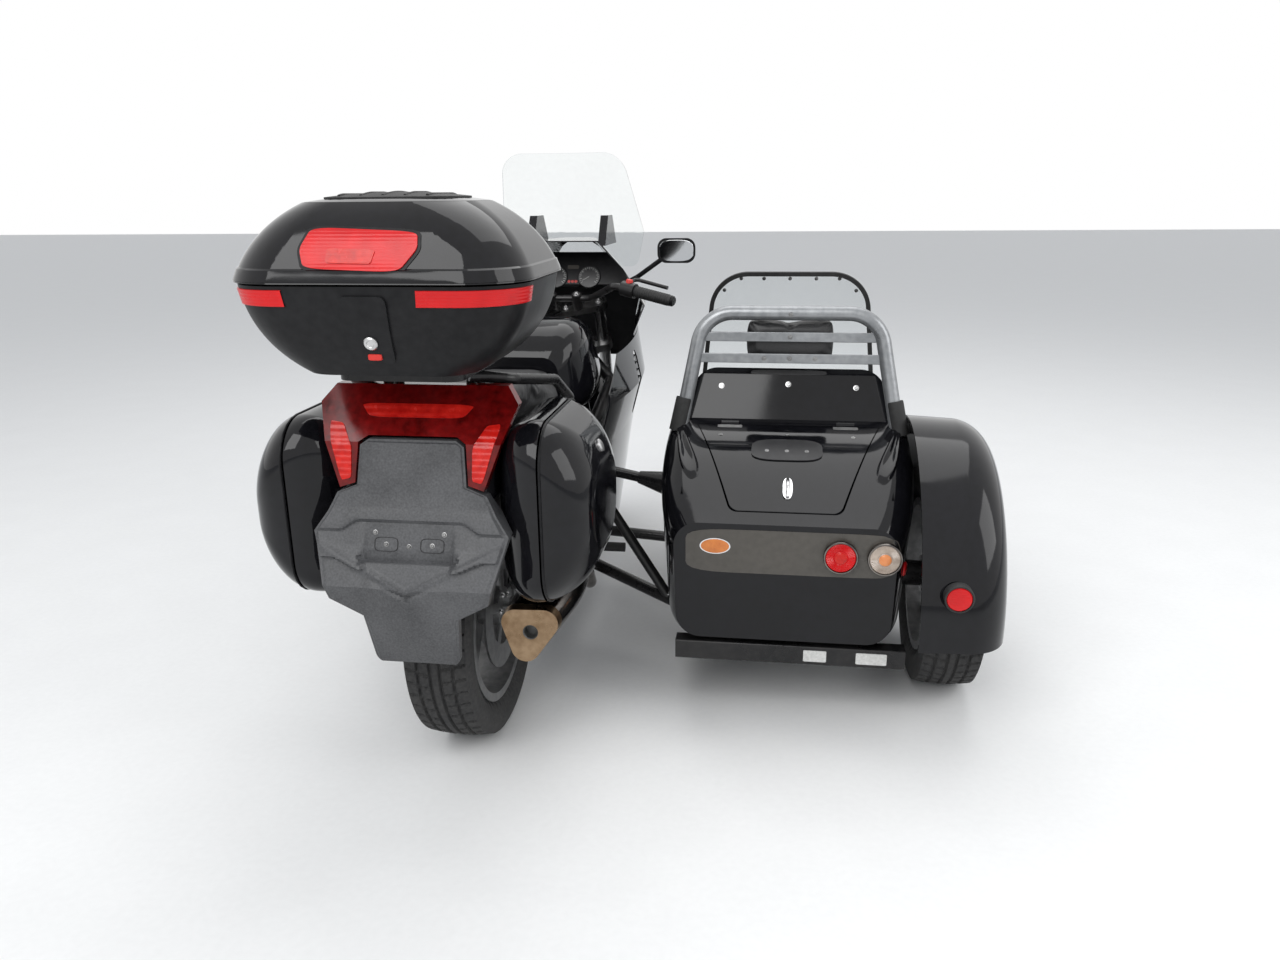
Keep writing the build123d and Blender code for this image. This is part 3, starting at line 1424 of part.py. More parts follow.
with BuildPart() as bulkhead:
    with BuildSketch(HEAD_PANEL):
        add(head_panel_outline(0))
    extrude(amount=-HEAD_PANEL_DEPTH)
    with BuildSketch(HEAD_PANEL.offset(-HEAD_PANEL_WALL)):
        add(head_panel_outline(HEAD_PANEL_WALL))
    extrude(amount=-HEAD_PANEL_DEPTH, mode=Mode.SUBTRACT)
    add(hull_outer, mode=Mode.SUBTRACT)
save(bulkhead.part, "bulkhead")

# Roll bar: a bent tube over the bulkhead with two flat cross bars
ROLL_RADIUS = 19.0
ROLL_BEND = 92.0
ROLL_FOOT_HALF = 286.0
ROLL_FOOT_Y = 404.0
ROLL_TOP_HALF = 226.0
ROLL_TOP_Y = 452.0
ROLL_TOP_Z = 974.0
CROSS_BARS = ((858.0, 25.0), (913.0, 25.0))
CROSS_WALL = 6.0
roll_lean = (ROLL_TOP_Y - ROLL_FOOT_Y) / (ROLL_TOP_Z - DECK_Z)
roll_narrow = (ROLL_FOOT_HALF - ROLL_TOP_HALF) / (ROLL_TOP_Z - DECK_Z)
with BuildPart() as roll_bar:
    add(tube(
        [
            place(CAR_X, -ROLL_FOOT_HALF, ROLL_FOOT_Y, DECK_Z - 30),
            place(CAR_X, -ROLL_TOP_HALF, ROLL_TOP_Y, ROLL_TOP_Z),
            place(CAR_X, ROLL_TOP_HALF, ROLL_TOP_Y, ROLL_TOP_Z),
            place(CAR_X, ROLL_FOOT_HALF, ROLL_FOOT_Y, DECK_Z - 30),
        ],
        ROLL_RADIUS,
        ROLL_BEND,
    ))
    for bar_z, bar_height in CROSS_BARS:
        bar_half = ROLL_FOOT_HALF - (bar_z - DECK_Z) * roll_narrow
        bar_y = ROLL_FOOT_Y + (bar_z - DECK_Z) * roll_lean
        with BuildSketch(along(CAR_X, -bar_half)):
            with Locations((bar_y, bar_z)):
                RectangleRounded(CROSS_WALL, bar_height, 2)
        extrude(amount=2 * bar_half)
    add(hull_outer, mode=Mode.SUBTRACT)
save(roll_bar.part, "roll_bar")

# Headrest pad on the cross bars
HEADREST_HALF = 117.0
HEADREST_WALL = 48.0
HEADREST_LOW = 842.0
HEADREST_HIGH = 960.0
headrest_y = ROLL_FOOT_Y + (HEADREST_HIGH - DECK_Z) * roll_lean + CROSS_WALL / 2 + SEAT_GAP
with BuildPart() as headrest:
    with BuildSketch(across(CAR_X, headrest_y)):
        with Locations((0, (HEADREST_LOW + HEADREST_HIGH) / 2)):
            RectangleRounded(2 * HEADREST_HALF, HEADREST_HIGH - HEADREST_LOW, 26)
    extrude(amount=-HEADREST_WALL)
    fillet(headrest.faces().sort_by(Axis.Y)[-1].edges(), 14)
    add(bulkhead.part, mode=Mode.SUBTRACT)
    add(roll_bar.part, mode=Mode.SUBTRACT)
save(headrest.part, "headrest")

# Sidecar seat: cushion on the floor pan and a leaning back
CUSHION_HALF = 218.0
CUSHION_REAR = 556.0
CUSHION_FRONT = 1000.0
CUSHION_LOW = 262.5
CUSHION_HIGH = 400.0
with BuildPart() as seat_cushion:
    with BuildSketch(level(CAR_X, CUSHION_LOW)):
        with Locations((0, (CUSHION_REAR + CUSHION_FRONT) / 2)):
            RectangleRounded(2 * CUSHION_HALF, CUSHION_FRONT - CUSHION_REAR, 48)
    extrude(amount=CUSHION_HIGH - CUSHION_LOW)
    fillet(seat_cushion.faces().sort_by(Axis.Z)[-1].edges(), 30)
save(seat_cushion.part, "seat_cushion")

with BuildPart() as seat_back:
    with BuildSketch(along(CAR_X, -CUSHION_HALF)):
        with BuildLine():
            Polyline(
                (480, 300),
                (480, 700),
                (506, 812),
                (566, 812),
                (590, 700),
                (630, CUSHION_HIGH + SEAT_GAP),
                (CUSHION_REAR - SEAT_GAP, CUSHION_HIGH + SEAT_GAP),
                (CUSHION_REAR - SEAT_GAP, 300),
                close=True,
            )
        make_face()
    extrude(amount=2 * CUSHION_HALF)
    add(bulkhead.part, mode=Mode.SUBTRACT)
save(seat_back.part, "seat_back")

# Sidecar windscreen: a clear arch with a rubber edge, standing on the nose deck
ARCH_WALL = 4.0
ARCH_Y = 1146.0
ARCH_LEAN = 10.0
ARCH_FOOT_Z = 690.0
ARCH_FOOT_HALF = 292.0
ARCH_TOP_HALF = 248.0
ARCH_HEIGHT = 344.0
ARCH_CORNER = 128.0
ARCH_EDGE = 13.0
ARCH_EDGE_WALL = 12.0
arch_sine = math.sin(math.radians(ARCH_LEAN))
arch_cosine = math.cos(math.radians(ARCH_LEAN))
ARCH = Plane(
    origin=place(CAR_X, 0, ARCH_Y, ARCH_FOOT_Z),
    x_dir=(1, 0, 0),
    z_dir=(0, -arch_cosine, -arch_sine),
)


def arch_outline(margin, foot):
    with BuildSketch() as outline:
        with BuildLine():
            Polyline(
                (-ARCH_FOOT_HALF + margin, foot),
                (ARCH_FOOT_HALF - margin, foot),
                (ARCH_TOP_HALF - margin, ARCH_HEIGHT - margin),
                (-ARCH_TOP_HALF + margin, ARCH_HEIGHT - margin),
                close=True,
            )
        make_face()
        fillet(outline.vertices().group_by(Axis.Y)[-1], ARCH_CORNER - margin)
    return outline.sketch


with BuildPart() as sidecar_screen:
    with BuildSketch(ARCH.offset(-ARCH_WALL / 2)):
        add(arch_outline(2, -80))
    extrude(amount=ARCH_WALL)
    add(hull_outer, mode=Mode.SUBTRACT)
save(sidecar_screen.part, "sidecar_screen")

with BuildPart() as screen_edge:
    with BuildSketch(ARCH.offset(-ARCH_EDGE_WALL / 2)):
        add(arch_outline(0, -80))
        add(arch_outline(ARCH_EDGE, -90), mode=Mode.SUBTRACT)
    extrude(amount=ARCH_EDGE_WALL)
    add(hull_outer, mode=Mode.SUBTRACT)
    add(sidecar_screen.part, mode=Mode.SUBTRACT)
save(screen_edge.part, "screen_edge")

# Sidecar mudguard: a revolved shell with an outer valance
FENDER_INNER = 310.0
FENDER_OUTER = 516.0
FENDER_RADIUS = 424.0
FENDER_SHOULDER = 96.0
FENDER_SKIRT = 262.0
FENDER_WALL = 5.0
FENDER_START = -4.0
FENDER_SWEEP = 188.0
FENDER_EASE = 6.0
car_wheel = WHEELS["sidecar"]
car_wheel_centre = wheel_centre(car_wheel)
fender_shift = TRACK - BODY_OFFSET
start_angle = math.radians(FENDER_START)
fender_radial = Vector(0, math.cos(start_angle), math.sin(start_angle))
fender_plane = Plane(origin=car_wheel_centre, x_dir=(1, 0, 0), z_dir=Vector(1, 0, 0).cross(fender_radial))
inner = FENDER_INNER - fender_shift
outer = FENDER_OUTER - fender_shift
crown_outside = (outer - FENDER_SHOULDER, FENDER_RADIUS - FENDER_EASE)
crown_inside = (outer - FENDER_SHOULDER, FENDER_RADIUS - FENDER_EASE - FENDER_WALL)
valance_outside = (outer, FENDER_RADIUS - FENDER_SHOULDER)
valance_inside = (outer - FENDER_WALL, FENDER_RADIUS - FENDER_SHOULDER)
skirt_outside = (outer - FENDER_EASE, FENDER_SKIRT)
skirt_inside = (outer - FENDER_EASE - FENDER_WALL, FENDER_SKIRT)
with BuildPart() as sidecar_mudguard:
    with BuildSketch(fender_plane):
        with BuildLine():
            Line((inner, FENDER_RADIUS - FENDER_WALL), (inner, FENDER_RADIUS))
            Line((inner, FENDER_RADIUS), crown_outside)
            RadiusArc(crown_outside, valance_outside, FENDER_SHOULDER)
            Line(valance_outside, skirt_outside)
            Line(skirt_outside, skirt_inside)
            Line(skirt_inside, valance_inside)
            RadiusArc(valance_inside, crown_inside, -FENDER_SHOULDER + FENDER_WALL)
            Line(crown_inside, (inner, FENDER_RADIUS - FENDER_WALL))
        make_face()
    revolve(axis=Axis(car_wheel_centre, (1, 0, 0)), revolution_arc=FENDER_SWEEP)
    add(hull_outer, mode=Mode.SUBTRACT)
save(sidecar_mudguard.part, "sidecar_mudguard")

# Sidecar chassis: two long tubes, cross tubes and a square rear beam under the body
CHASSIS_Z = 180.0
CHASSIS_RADIUS = 22.0
CHASSIS_X = 218.0
CHASSIS_REAR = 104.0
CHASSIS_FRONT = 1400.0
CROSS_TUBES_Y = (300.0, 700.0, 1180.0)
BEAM_HEIGHT = 50.0
BEAM_DEPTH = 46.0
BEAM_LEFT = -262.0
BEAM_RIGHT = 300.0
PAD_X = 150.0
with BuildPart() as sidecar_chassis:
    for side in (-1, 1):
        add(tube(
            [place(CAR_X, side * CHASSIS_X, CHASSIS_REAR, CHASSIS_Z),
             place(CAR_X, side * CHASSIS_X, CROSS_TUBES_Y[-1], CHASSIS_Z),
             place(CAR_X, side * 140, CHASSIS_FRONT, CHASSIS_Z + 16)],
            CHASSIS_RADIUS,
            80,
        ))
    for cross_y in CROSS_TUBES_Y:
        with BuildSketch(along(CAR_X, -CHASSIS_X)):
            with Locations((cross_y, CHASSIS_Z)):
                Circle(CHASSIS_RADIUS - 2)
        extrude(amount=2 * CHASSIS_X)
    with BuildSketch(along(CAR_X, BEAM_LEFT)):
        with Locations((CHASSIS_REAR, CHASSIS_Z)):
            RectangleRounded(BEAM_DEPTH, BEAM_HEIGHT, 5)
    extrude(amount=BEAM_RIGHT - BEAM_LEFT)
    for pad_y in CROSS_TUBES_Y:
        with BuildSketch(level(CAR_X, CHASSIS_Z)):
            with Locations((-PAD_X, pad_y), (PAD_X, pad_y)):
                Circle(16)
        extrude(amount=60)
    add(hull_outer, mode=Mode.SUBTRACT)
save(sidecar_chassis.part, "sidecar_chassis")

# Trailing arm with the stub axle that carries the sidecar wheel
ARM_PLATE_INNER = 303.0
ARM_PLATE_WALL = 20.0
ARM_PIVOT_Y = 700.0
ARM_BOSS = 34.0
with BuildPart() as wheel_arm:
    with BuildSketch(along(CAR_X, ARM_PLATE_INNER)):
        with Locations((ARM_PIVOT_Y, CHASSIS_Z)):
            Circle(ARM_BOSS)
        with Locations((SIDECAR_LEAD, car_wheel["radius"])):
            Circle(ARM_BOSS)
        make_hull()
    extrude(amount=ARM_PLATE_WALL)
    with BuildSketch(along(CAR_X, ARM_PLATE_INNER)):
        with Locations((SIDECAR_LEAD, car_wheel["radius"])):
            Circle(ARM_BOSS)
    extrude(amount=fender_shift - car_wheel["hub"] - ARM_PLATE_INNER - 1.5)
    with BuildSketch(along(CAR_X, ARM_PLATE_INNER)):
        with Locations((SIDECAR_LEAD, car_wheel["radius"])):
            Circle(AXLE_RADIUS)
    extrude(amount=fender_shift + car_wheel["hub"] - ARM_PLATE_INNER)
    with BuildSketch(along(CAR_X, CHASSIS_X - 10)):
        with Locations((ARM_PIVOT_Y, CHASSIS_Z)):
            Circle(18)
    extrude(amount=ARM_PLATE_INNER - CHASSIS_X + 12)
    add(sidecar_chassis.part, mode=Mode.SUBTRACT)
save(wheel_arm.part, "wheel_arm")

# Struts between the motorcycle and the sidecar: columns start and end on the motorcycle's centre, radius
STRUT_RADIUS = 17.0
side_strut_run = Vector(*SIDE_STRUT_END) - Vector(*SIDE_STRUT_START)
side_cover_start = Vector(*SIDE_STRUT_END) - side_strut_run * SIDE_STRUT_COVER_LENGTH
chassis_left = BODY_OFFSET - CHASSIS_X
with BuildPart() as mounting_struts:
    for start, end, radius in (
        ((PLATE_INNER + PLATE_WALL / 2, 470, 262), (chassis_left, 300, CHASSIS_Z), STRUT_RADIUS),
        ((CRADLE_X, 860, CRADLE_Z - 4), (chassis_left, 860, CHASSIS_Z), STRUT_RADIUS),
        ((PLATE_INNER + PLATE_WALL, 402, 580), (440, 341, 200), SIDE_STRUT_RADIUS),
        (SIDE_STRUT_START, SIDE_STRUT_END, SIDE_STRUT_RADIUS),
    ):
        add(bike_rod(start, end, radius))
    add(bike_cone(side_cover_start, SIDE_STRUT_END, SIDE_STRUT_RADIUS + 3, SIDE_STRUT_COVER))
    add(motorcycle_frame.part, mode=Mode.SUBTRACT)
    add(sidecar_chassis.part, mode=Mode.SUBTRACT)
    add(hull_outer, mode=Mode.SUBTRACT)
save(mounting_struts.part, "mounting_struts")

# Sidecar lamps: two round lamps on the tail and a round reflector on the mudguard
LAMP_RADIUS = 38.0
LAMP_PLACES = ((132.0, 450.0), (234.0, 450.0))
LAMP_FACE_Y = 60.0
LAMP_DEPTH = 60.0
REFLECTOR_RADIUS = 29.0
REFLECTOR_PLACE = (390.0, 400.0)
REFLECTOR_FACE_Y = -38.0
REFLECTOR_DEPTH = 22.0
with BuildPart() as sidecar_lamps:
    with BuildSketch(across(CAR_X, LAMP_FACE_Y)):
        with Locations(*LAMP_PLACES):
            Circle(LAMP_RADIUS)
    extrude(amount=-LAMP_DEPTH)
    with BuildSketch(across(CAR_X, REFLECTOR_FACE_Y)):
        with Locations(REFLECTOR_PLACE):
            Circle(REFLECTOR_RADIUS)
    extrude(amount=-REFLECTOR_DEPTH)
    add(hull_outer, mode=Mode.SUBTRACT)
    add(sidecar_mudguard.part, mode=Mode.SUBTRACT)
save(sidecar_lamps.part, "sidecar_lamps")
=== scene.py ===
import math

import bmesh
import bpy
from mathutils import Matrix, Vector
from mathutils.bvhtree import BVHTree


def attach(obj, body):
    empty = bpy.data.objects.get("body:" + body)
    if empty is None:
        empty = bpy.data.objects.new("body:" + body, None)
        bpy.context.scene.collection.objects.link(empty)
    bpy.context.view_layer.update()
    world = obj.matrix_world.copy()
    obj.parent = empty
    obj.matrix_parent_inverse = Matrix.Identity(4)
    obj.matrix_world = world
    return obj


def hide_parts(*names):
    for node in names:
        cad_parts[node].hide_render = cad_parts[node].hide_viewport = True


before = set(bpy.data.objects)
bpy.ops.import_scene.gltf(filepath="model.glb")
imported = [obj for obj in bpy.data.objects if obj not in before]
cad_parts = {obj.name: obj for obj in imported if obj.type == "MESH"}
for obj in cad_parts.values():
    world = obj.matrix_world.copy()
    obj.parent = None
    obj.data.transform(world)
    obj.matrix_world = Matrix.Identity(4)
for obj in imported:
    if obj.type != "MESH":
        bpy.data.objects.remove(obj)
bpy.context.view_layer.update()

# Metres. Each half of the outfit has its own centre plane; y values are measured forward from the rear axle.
BIKE_X = -0.422
CAR_X = 0.323
REAR_AXLE_Y = -0.642


def bike(x, y, z):
    return Vector((BIKE_X + x, REAR_AXLE_Y + y, z))


def car(x, y, z):
    return Vector((CAR_X + x, REAR_AXLE_Y + y, z))


FRONT_AXLE = bike(0, 1.475, 0.300)
REAR_AXLE = bike(0, 0, 0.310)
SIDECAR_AXLE = bike(1.165, 0.390, 0.290)
RAKE = math.radians(28)

# Directions along which places are thrown onto the CAD surfaces
BEHIND = (0, 1, 0)
DOWN = (0, 0, -1)
RIGHT = Vector((1, 0, 0))

# Materials: noise values between which colours and roughness change, and a wave texture's pitch at scale one
NOISE_DARK = 0.36
NOISE_LIGHT = 0.66
NOISE_SMOOTH = 0.3
NOISE_ROUGH = 0.7
WAVE_PITCH = 0.314


def material(name, colour, rough, metallic=0.0, coat=0.0, clear=0.0, other=None, grain=60.0, cloud=5.0,
             spread=0.15, rough_spread=0.1, bump=0.1, bump_scale=400.0, bump_height=0.0004, ribs=None,
             ior=1.45):
    """Principled material: cloudy colour, uneven roughness, fine bump, and ribs along an axis if asked."""
    made = bpy.data.materials.new(name)
    made.use_nodes = True
    nodes = made.node_tree.nodes
    links = made.node_tree.links
    shader = nodes["Principled BSDF"]
    where = nodes.new("ShaderNodeTexCoord")

    def noise(scale, detail):
        field = nodes.new("ShaderNodeTexNoise")
        field.inputs["Scale"].default_value = scale
        field.inputs["Detail"].default_value = detail
        links.new(where.outputs["Object"], field.inputs["Vector"])
        return field

    clouds = noise(cloud, 6.0)
    specks = noise(grain, 4.0)
    both = nodes.new("ShaderNodeMath")
    both.operation = "ADD"
    links.new(clouds.outputs["Fac"], both.inputs[0])
    links.new(specks.outputs["Fac"], both.inputs[1])
    half = nodes.new("ShaderNodeMath")
    half.operation = "MULTIPLY"
    half.inputs[1].default_value = 0.5
    links.new(both.outputs[0], half.inputs[0])
    ramp = nodes.new("ShaderNodeValToRGB")
    dark = [c * (1 - spread) for c in colour]
    light = list(other) if other else [min(1.0, c * (1 + spread)) for c in colour]
    ramp.color_ramp.elements[0].position = NOISE_DARK
    ramp.color_ramp.elements[0].color = (*dark, 1)
    ramp.color_ramp.elements[1].position = NOISE_LIGHT
    ramp.color_ramp.elements[1].color = (*light, 1)
    links.new(half.outputs[0], ramp.inputs["Fac"])
    links.new(ramp.outputs["Color"], shader.inputs["Base Color"])
    span = nodes.new("ShaderNodeMapRange")
    span.inputs["From Min"].default_value = NOISE_SMOOTH
    span.inputs["From Max"].default_value = NOISE_ROUGH
    span.inputs["To Min"].default_value = max(0.02, rough - rough_spread)
    span.inputs["To Max"].default_value = min(1.0, rough + rough_spread)
    links.new(clouds.outputs["Fac"], span.inputs["Value"])
    links.new(span.outputs["Result"], shader.inputs["Roughness"])
    shader.inputs["Metallic"].default_value = metallic
    shader.inputs["Coat Weight"].default_value = coat
    shader.inputs["Coat Roughness"].default_value = 0.04
    shader.inputs["IOR"].default_value = ior
    shader.inputs["Transmission Weight"].default_value = clear
    height = noise(bump_scale, 3.0)
    surface = nodes.new("ShaderNodeBump")
    surface.inputs["Strength"].default_value = bump
    surface.inputs["Distance"].default_value = bump_height
    links.new(height.outputs["Fac"], surface.inputs["Height"])
    if ribs:
        axis, pitch, strength = ribs
        wave = nodes.new("ShaderNodeTexWave")
        wave.bands_direction = axis
        wave.inputs["Scale"].default_value = WAVE_PITCH / pitch
        links.new(where.outputs["Object"], wave.inputs["Vector"])
        ridge = nodes.new("ShaderNodeBump")
        ridge.inputs["Strength"].default_value = strength
        ridge.inputs["Distance"].default_value = 0.002
        links.new(wave.outputs["Fac"], ridge.inputs["Height"])
        links.new(surface.outputs["Normal"], ridge.inputs["Normal"])
        surface = ridge
    links.new(surface.outputs["Normal"], shader.inputs["Normal"])
    return made


GLOSS = material("gloss_black", (0.004, 0.004, 0.005), 0.07, other=(0.007, 0.007, 0.009), rough_spread=0.04,
                 bump=0.03, bump_scale=30, bump_height=0.001, ior=1.38)
SATIN = material("satin_black", (0.008, 0.008, 0.009), 0.36, other=(0.015, 0.015, 0.016), bump=0.15,
                 bump_scale=700, ior=1.26)
WORN = material("worn_plastic", (0.048, 0.049, 0.052), 0.5, other=(0.095, 0.096, 0.1), cloud=9, grain=240,
                rough_spread=0.14, bump=0.35, bump_scale=900)
TUBE = material("black_tube", (0.008, 0.008, 0.009), 0.28, other=(0.02, 0.019, 0.019), bump=0.12,
                bump_scale=120, ior=1.4)
TYRE = material("tyre_rubber", (0.016, 0.016, 0.017), 0.78, other=(0.042, 0.041, 0.04), cloud=14, grain=120,
                bump=0.3)
RUBBER = material("soft_rubber", (0.012, 0.012, 0.012), 0.62, other=(0.026, 0.026, 0.026), bump=0.3)
ALLOY = material("cast_alloy", (0.2, 0.2, 0.205), 0.42, metallic=0.85, other=(0.3, 0.3, 0.3), bump=0.3,
                 bump_scale=600)
METAL = material("polished_metal", (0.5, 0.5, 0.5), 0.26, metallic=1.0, other=(0.62, 0.62, 0.62), bump=0.1)
CHROME = material("chrome", (0.72, 0.72, 0.73), 0.08, metallic=1.0, spread=0.06, rough_spread=0.04, bump=0.02)
ENGINE = material("engine_casting", (0.1, 0.1, 0.1), 0.5, metallic=0.7, other=(0.17, 0.17, 0.165), bump=0.4,
                  bump_scale=500)
SILVER = material("silver_tube", (0.26, 0.27, 0.28), 0.34, metallic=0.6, other=(0.34, 0.35, 0.36), bump=0.12,
                  bump_scale=500)
SMOKE = material("dark_chrome", (0.12, 0.11, 0.11), 0.18, metallic=1.0, other=(0.24, 0.22, 0.2), cloud=12,
                 bump=0.05)
BRONZE = material("aged_bronze", (0.22, 0.14, 0.08), 0.3, metallic=1.0, other=(0.34, 0.24, 0.15), cloud=14,
                  bump=0.12, bump_scale=300)
SEAT = material("seat_leather", (0.016, 0.016, 0.017), 0.46, other=(0.034, 0.034, 0.035), grain=300, bump=0.5,
                bump_scale=520, bump_height=0.0008)
CLEAR = material("clear_sheet", (0.93, 0.95, 0.95), 0.03, clear=1.0, spread=0.02, rough_spread=0.01,
                 bump=0.01, ior=1.12)
RED = material("red_reflector", (0.56, 0.006, 0.008), 0.24, other=(0.68, 0.01, 0.012), cloud=3, grain=20,
               ribs=("Z", 0.006, 0.12), bump=0.03, ior=1.38)
LENS = material("tail_lens", (0.07, 0.002, 0.002), 0.1, other=(0.2, 0.005, 0.005), cloud=16, bump=0.05,
                ior=1.4)
BRIGHT = material("bright_lens", (0.5, 0.008, 0.006), 0.2, other=(0.68, 0.02, 0.012), cloud=40,
                  ribs=("Z", 0.012, 0.3), bump=0.05, ior=1.4)
AMBER = material("amber_lens", (0.4, 0.32, 0.26), 0.14, coat=0.3, other=(0.52, 0.44, 0.37), cloud=30,
                 bump=0.1)
ORANGE = material("orange_badge", (0.62, 0.17, 0.03), 0.35, coat=0.3, other=(0.75, 0.25, 0.05), bump=0.1)
OLIVE = material("olive_band", (0.07, 0.064, 0.055), 0.26, other=(0.082, 0.075, 0.065), cloud=2, bump=0.04)
STEEL = material("screw_steel", (0.2, 0.2, 0.2), 0.3, metallic=1.0, other=(0.34, 0.34, 0.34), bump=0.1)
BULB = material("orange_bulb", (0.72, 0.2, 0.05), 0.2, coat=0.4, other=(0.8, 0.3, 0.1), bump=0.05)
LABEL = material("blank_label", (0.55, 0.55, 0.53), 0.45, other=(0.68, 0.68, 0.66), grain=200, bump=0.15)
MIRROR = material("mirror_glass", (0.85, 0.86, 0.87), 0.04, metallic=1.0, spread=0.02, rough_spread=0.01,
                  bump=0.01)
DIAL = material("dial_face", (0.01, 0.01, 0.011), 0.35, other=(0.02, 0.02, 0.022), bump=0.1)
MARK = material("dial_mark", (0.65, 0.65, 0.62), 0.5, spread=0.08, bump=0.1)
SIGNAL = material("red_plastic", (0.55, 0.02, 0.015), 0.35, other=(0.65, 0.04, 0.03), bump=0.1)

NODE_LOOKS = (
    (TYRE, "front_tyre rear_tyre sidecar_tyre"),
    (ALLOY, "front_rim rear_rim sidecar_rim swingarm"),
    (METAL, "fork"),
    (TUBE, "handlebar motorcycle_frame sidecar_chassis mounting_struts wheel_arm grab_rails"),
    (RUBBER, "grips footpegs screen_edge"),
    (ENGINE, "engine_block"),
    (SATIN, "top_box_base instrument_panel mirrors sidecar_floor"),
    (WORN, "rear_mudguard"),
    (CLEAR, "windscreen headlamp sidecar_screen"),
    (LENS, "tail_lamp"),
    (RED, "sidecar_lamps"),
    (SEAT, "saddle seat_cushion seat_back headrest"),
    (SMOKE, "silencer"),
    (BRONZE, "silencer_cap"),
    (SILVER, "roll_bar"),
)
painted = {node: look for look, group in NODE_LOOKS for node in group.split()}
for node_name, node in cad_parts.items():
    node.data.materials.clear()
    node.data.materials.append(painted.get(node_name, GLOSS))


# Mesh helpers
def piece(name, mesh, look, body, smooth=35.0):
    """Puts a bmesh into the scene as a named piece that rides on a CAD body."""
    bmesh.ops.recalc_face_normals(mesh, faces=mesh.faces[:])
    data = bpy.data.meshes.new(name)
    mesh.to_mesh(data)
    mesh.free()
    made = bpy.data.objects.new(name, data)
    bpy.context.collection.objects.link(made)
    data.materials.append(look)
    for face in data.polygons:
        face.use_smooth = True
    data.set_sharp_from_angle(angle=math.radians(smooth))
    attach(made, body)
    return made


def frame_of(axis):
    """Two directions square to an axis."""
    axis = Vector(axis).normalized()
    side = Vector((1, 0, 0)) if abs(axis.x) < 0.8 else Vector((0, 1, 0))
    first = axis.cross(side).normalized()
    return axis, first, axis.cross(first).normalized()


def skin(mesh, rows, closed=True):
    """Faces between each row of vertices and the next; a closed row comes back to its start."""
    for low, high in zip(rows, rows[1:]):
        count = len(low)
        for step in range(count if closed else count - 1):
            after = (step + 1) % count
            mesh.faces.new((low[step], low[after], high[after], high[step]))


def turned(mesh, profile, centre, axis, steps=32):
    """A turned form: rows of radius and height along the axis, closed where the radius is nought."""
    axis, first, second = frame_of(axis)
    centre = Vector(centre)
    rows = []
    for radius, height in profile:
        if radius <= 0:
            rows.append([mesh.verts.new(centre + axis * height)])
            continue
        row = []
        for step in range(steps):
            turn = 2 * math.pi * step / steps
            out = first * math.cos(turn) + second * math.sin(turn)
            row.append(mesh.verts.new(centre + axis * height + out * radius))
        rows.append(row)
    for low, high in zip(rows, rows[1:]):
        if len(low) == len(high):
            skin(mesh, [low, high])
            continue
        for step in range(steps):
            after = (step + 1) % steps
            if len(low) == 1:
                mesh.faces.new((low[0], high[step], high[after]))
            else:
                mesh.faces.new((low[step], low[after], high[0]))


def turned_piece(name, profile, centre, axis, steps, look, body):
    mesh = bmesh.new()
    turned(mesh, profile, centre, axis, steps)
    return piece(name, mesh, look, body)


def screw(mesh, point, axis, radius, height):
    """A domed screw head with a washer and a round socket."""
    washer = [(0, -0.001), (radius * 1.5, -0.001), (radius * 1.5, height * 0.25)]
    dome = [(radius * 1.02, height * 0.3), (radius, height * 0.7), (radius * 0.8, height)]
    socket = [(radius * 0.5, height), (radius * 0.45, height * 0.6), (0, height * 0.6)]
    turned(mesh, washer + dome + socket, point, axis, 18)


def screws(name, places, radius, height, look, body):
    mesh = bmesh.new()
    for point, axis in places:
        screw(mesh, point, axis, radius, height)
    return piece(name, mesh, look, body)


def rounded(corners, share=0.3, steps=5):
    """A closed outline with each corner eased by a curve."""
    outline = []
    count = len(corners)
    for index in range(count):
        corner = Vector(corners[index])
        before = Vector(corners[index - 1])
        after = Vector(corners[(index + 1) % count])
        start = corner.lerp(before, share)
        end = corner.lerp(after, share)
        for step in range(steps + 1):
            t = step / steps
            outline.append(start.lerp(corner, t).lerp(corner.lerp(end, t), t))
    return outline


def rounded_box(half_x, half_y, share, at=(0, 0), steps=5):
    """A rounded rectangle about a place."""
    x, y = at
    signs = ((-1, -1), (1, -1), (1, 1), (-1, 1))
    return rounded([(x + half_x * first, y + half_y * second) for first, second in signs], share, steps)


def oval(centre_x, centre_z, half_x, half_z, steps=48, power=2.0):
    """An oval outline, squarer with a higher power."""
    outline = []
    for step in range(steps):
        turn = 2 * math.pi * step / steps
        c, s = math.cos(turn), math.sin(turn)
        outline.append(Vector((centre_x + half_x * math.copysign(abs(c) ** (2 / power), c),
                               centre_z + half_z * math.copysign(abs(s) ** (2 / power), s))))
    return outline


trees = {}


def tree_of(node):
    if node not in trees:
        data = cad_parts[node].data
        corners = [vertex.co[:] for vertex in data.vertices]
        trees[node] = BVHTree.FromPolygons(corners, [face.vertices[:] for face in data.polygons])
    return trees[node]


def on_node(node, point, way):
    """The place and outward normal where a line through a point meets a node, or else the nearest place."""
    way = Vector(way)
    hit, normal, _, _ = tree_of(node).ray_cast(Vector(point) - way * 3, way)
    if hit is None:
        hit, normal, _, _ = tree_of(node).find_nearest(Vector(point))
    return hit, (-normal if normal.dot(way) > 0 else normal)


def dense(outline, gap):
    """The closed outline with points no further apart than the gap."""
    points = []
    for index, point in enumerate(outline):
        after = outline[(index + 1) % len(outline)]
        count = max(1, math.ceil((after - point).length / gap))
        points += [point.lerp(after, step / count) for step in range(count)]
    return points


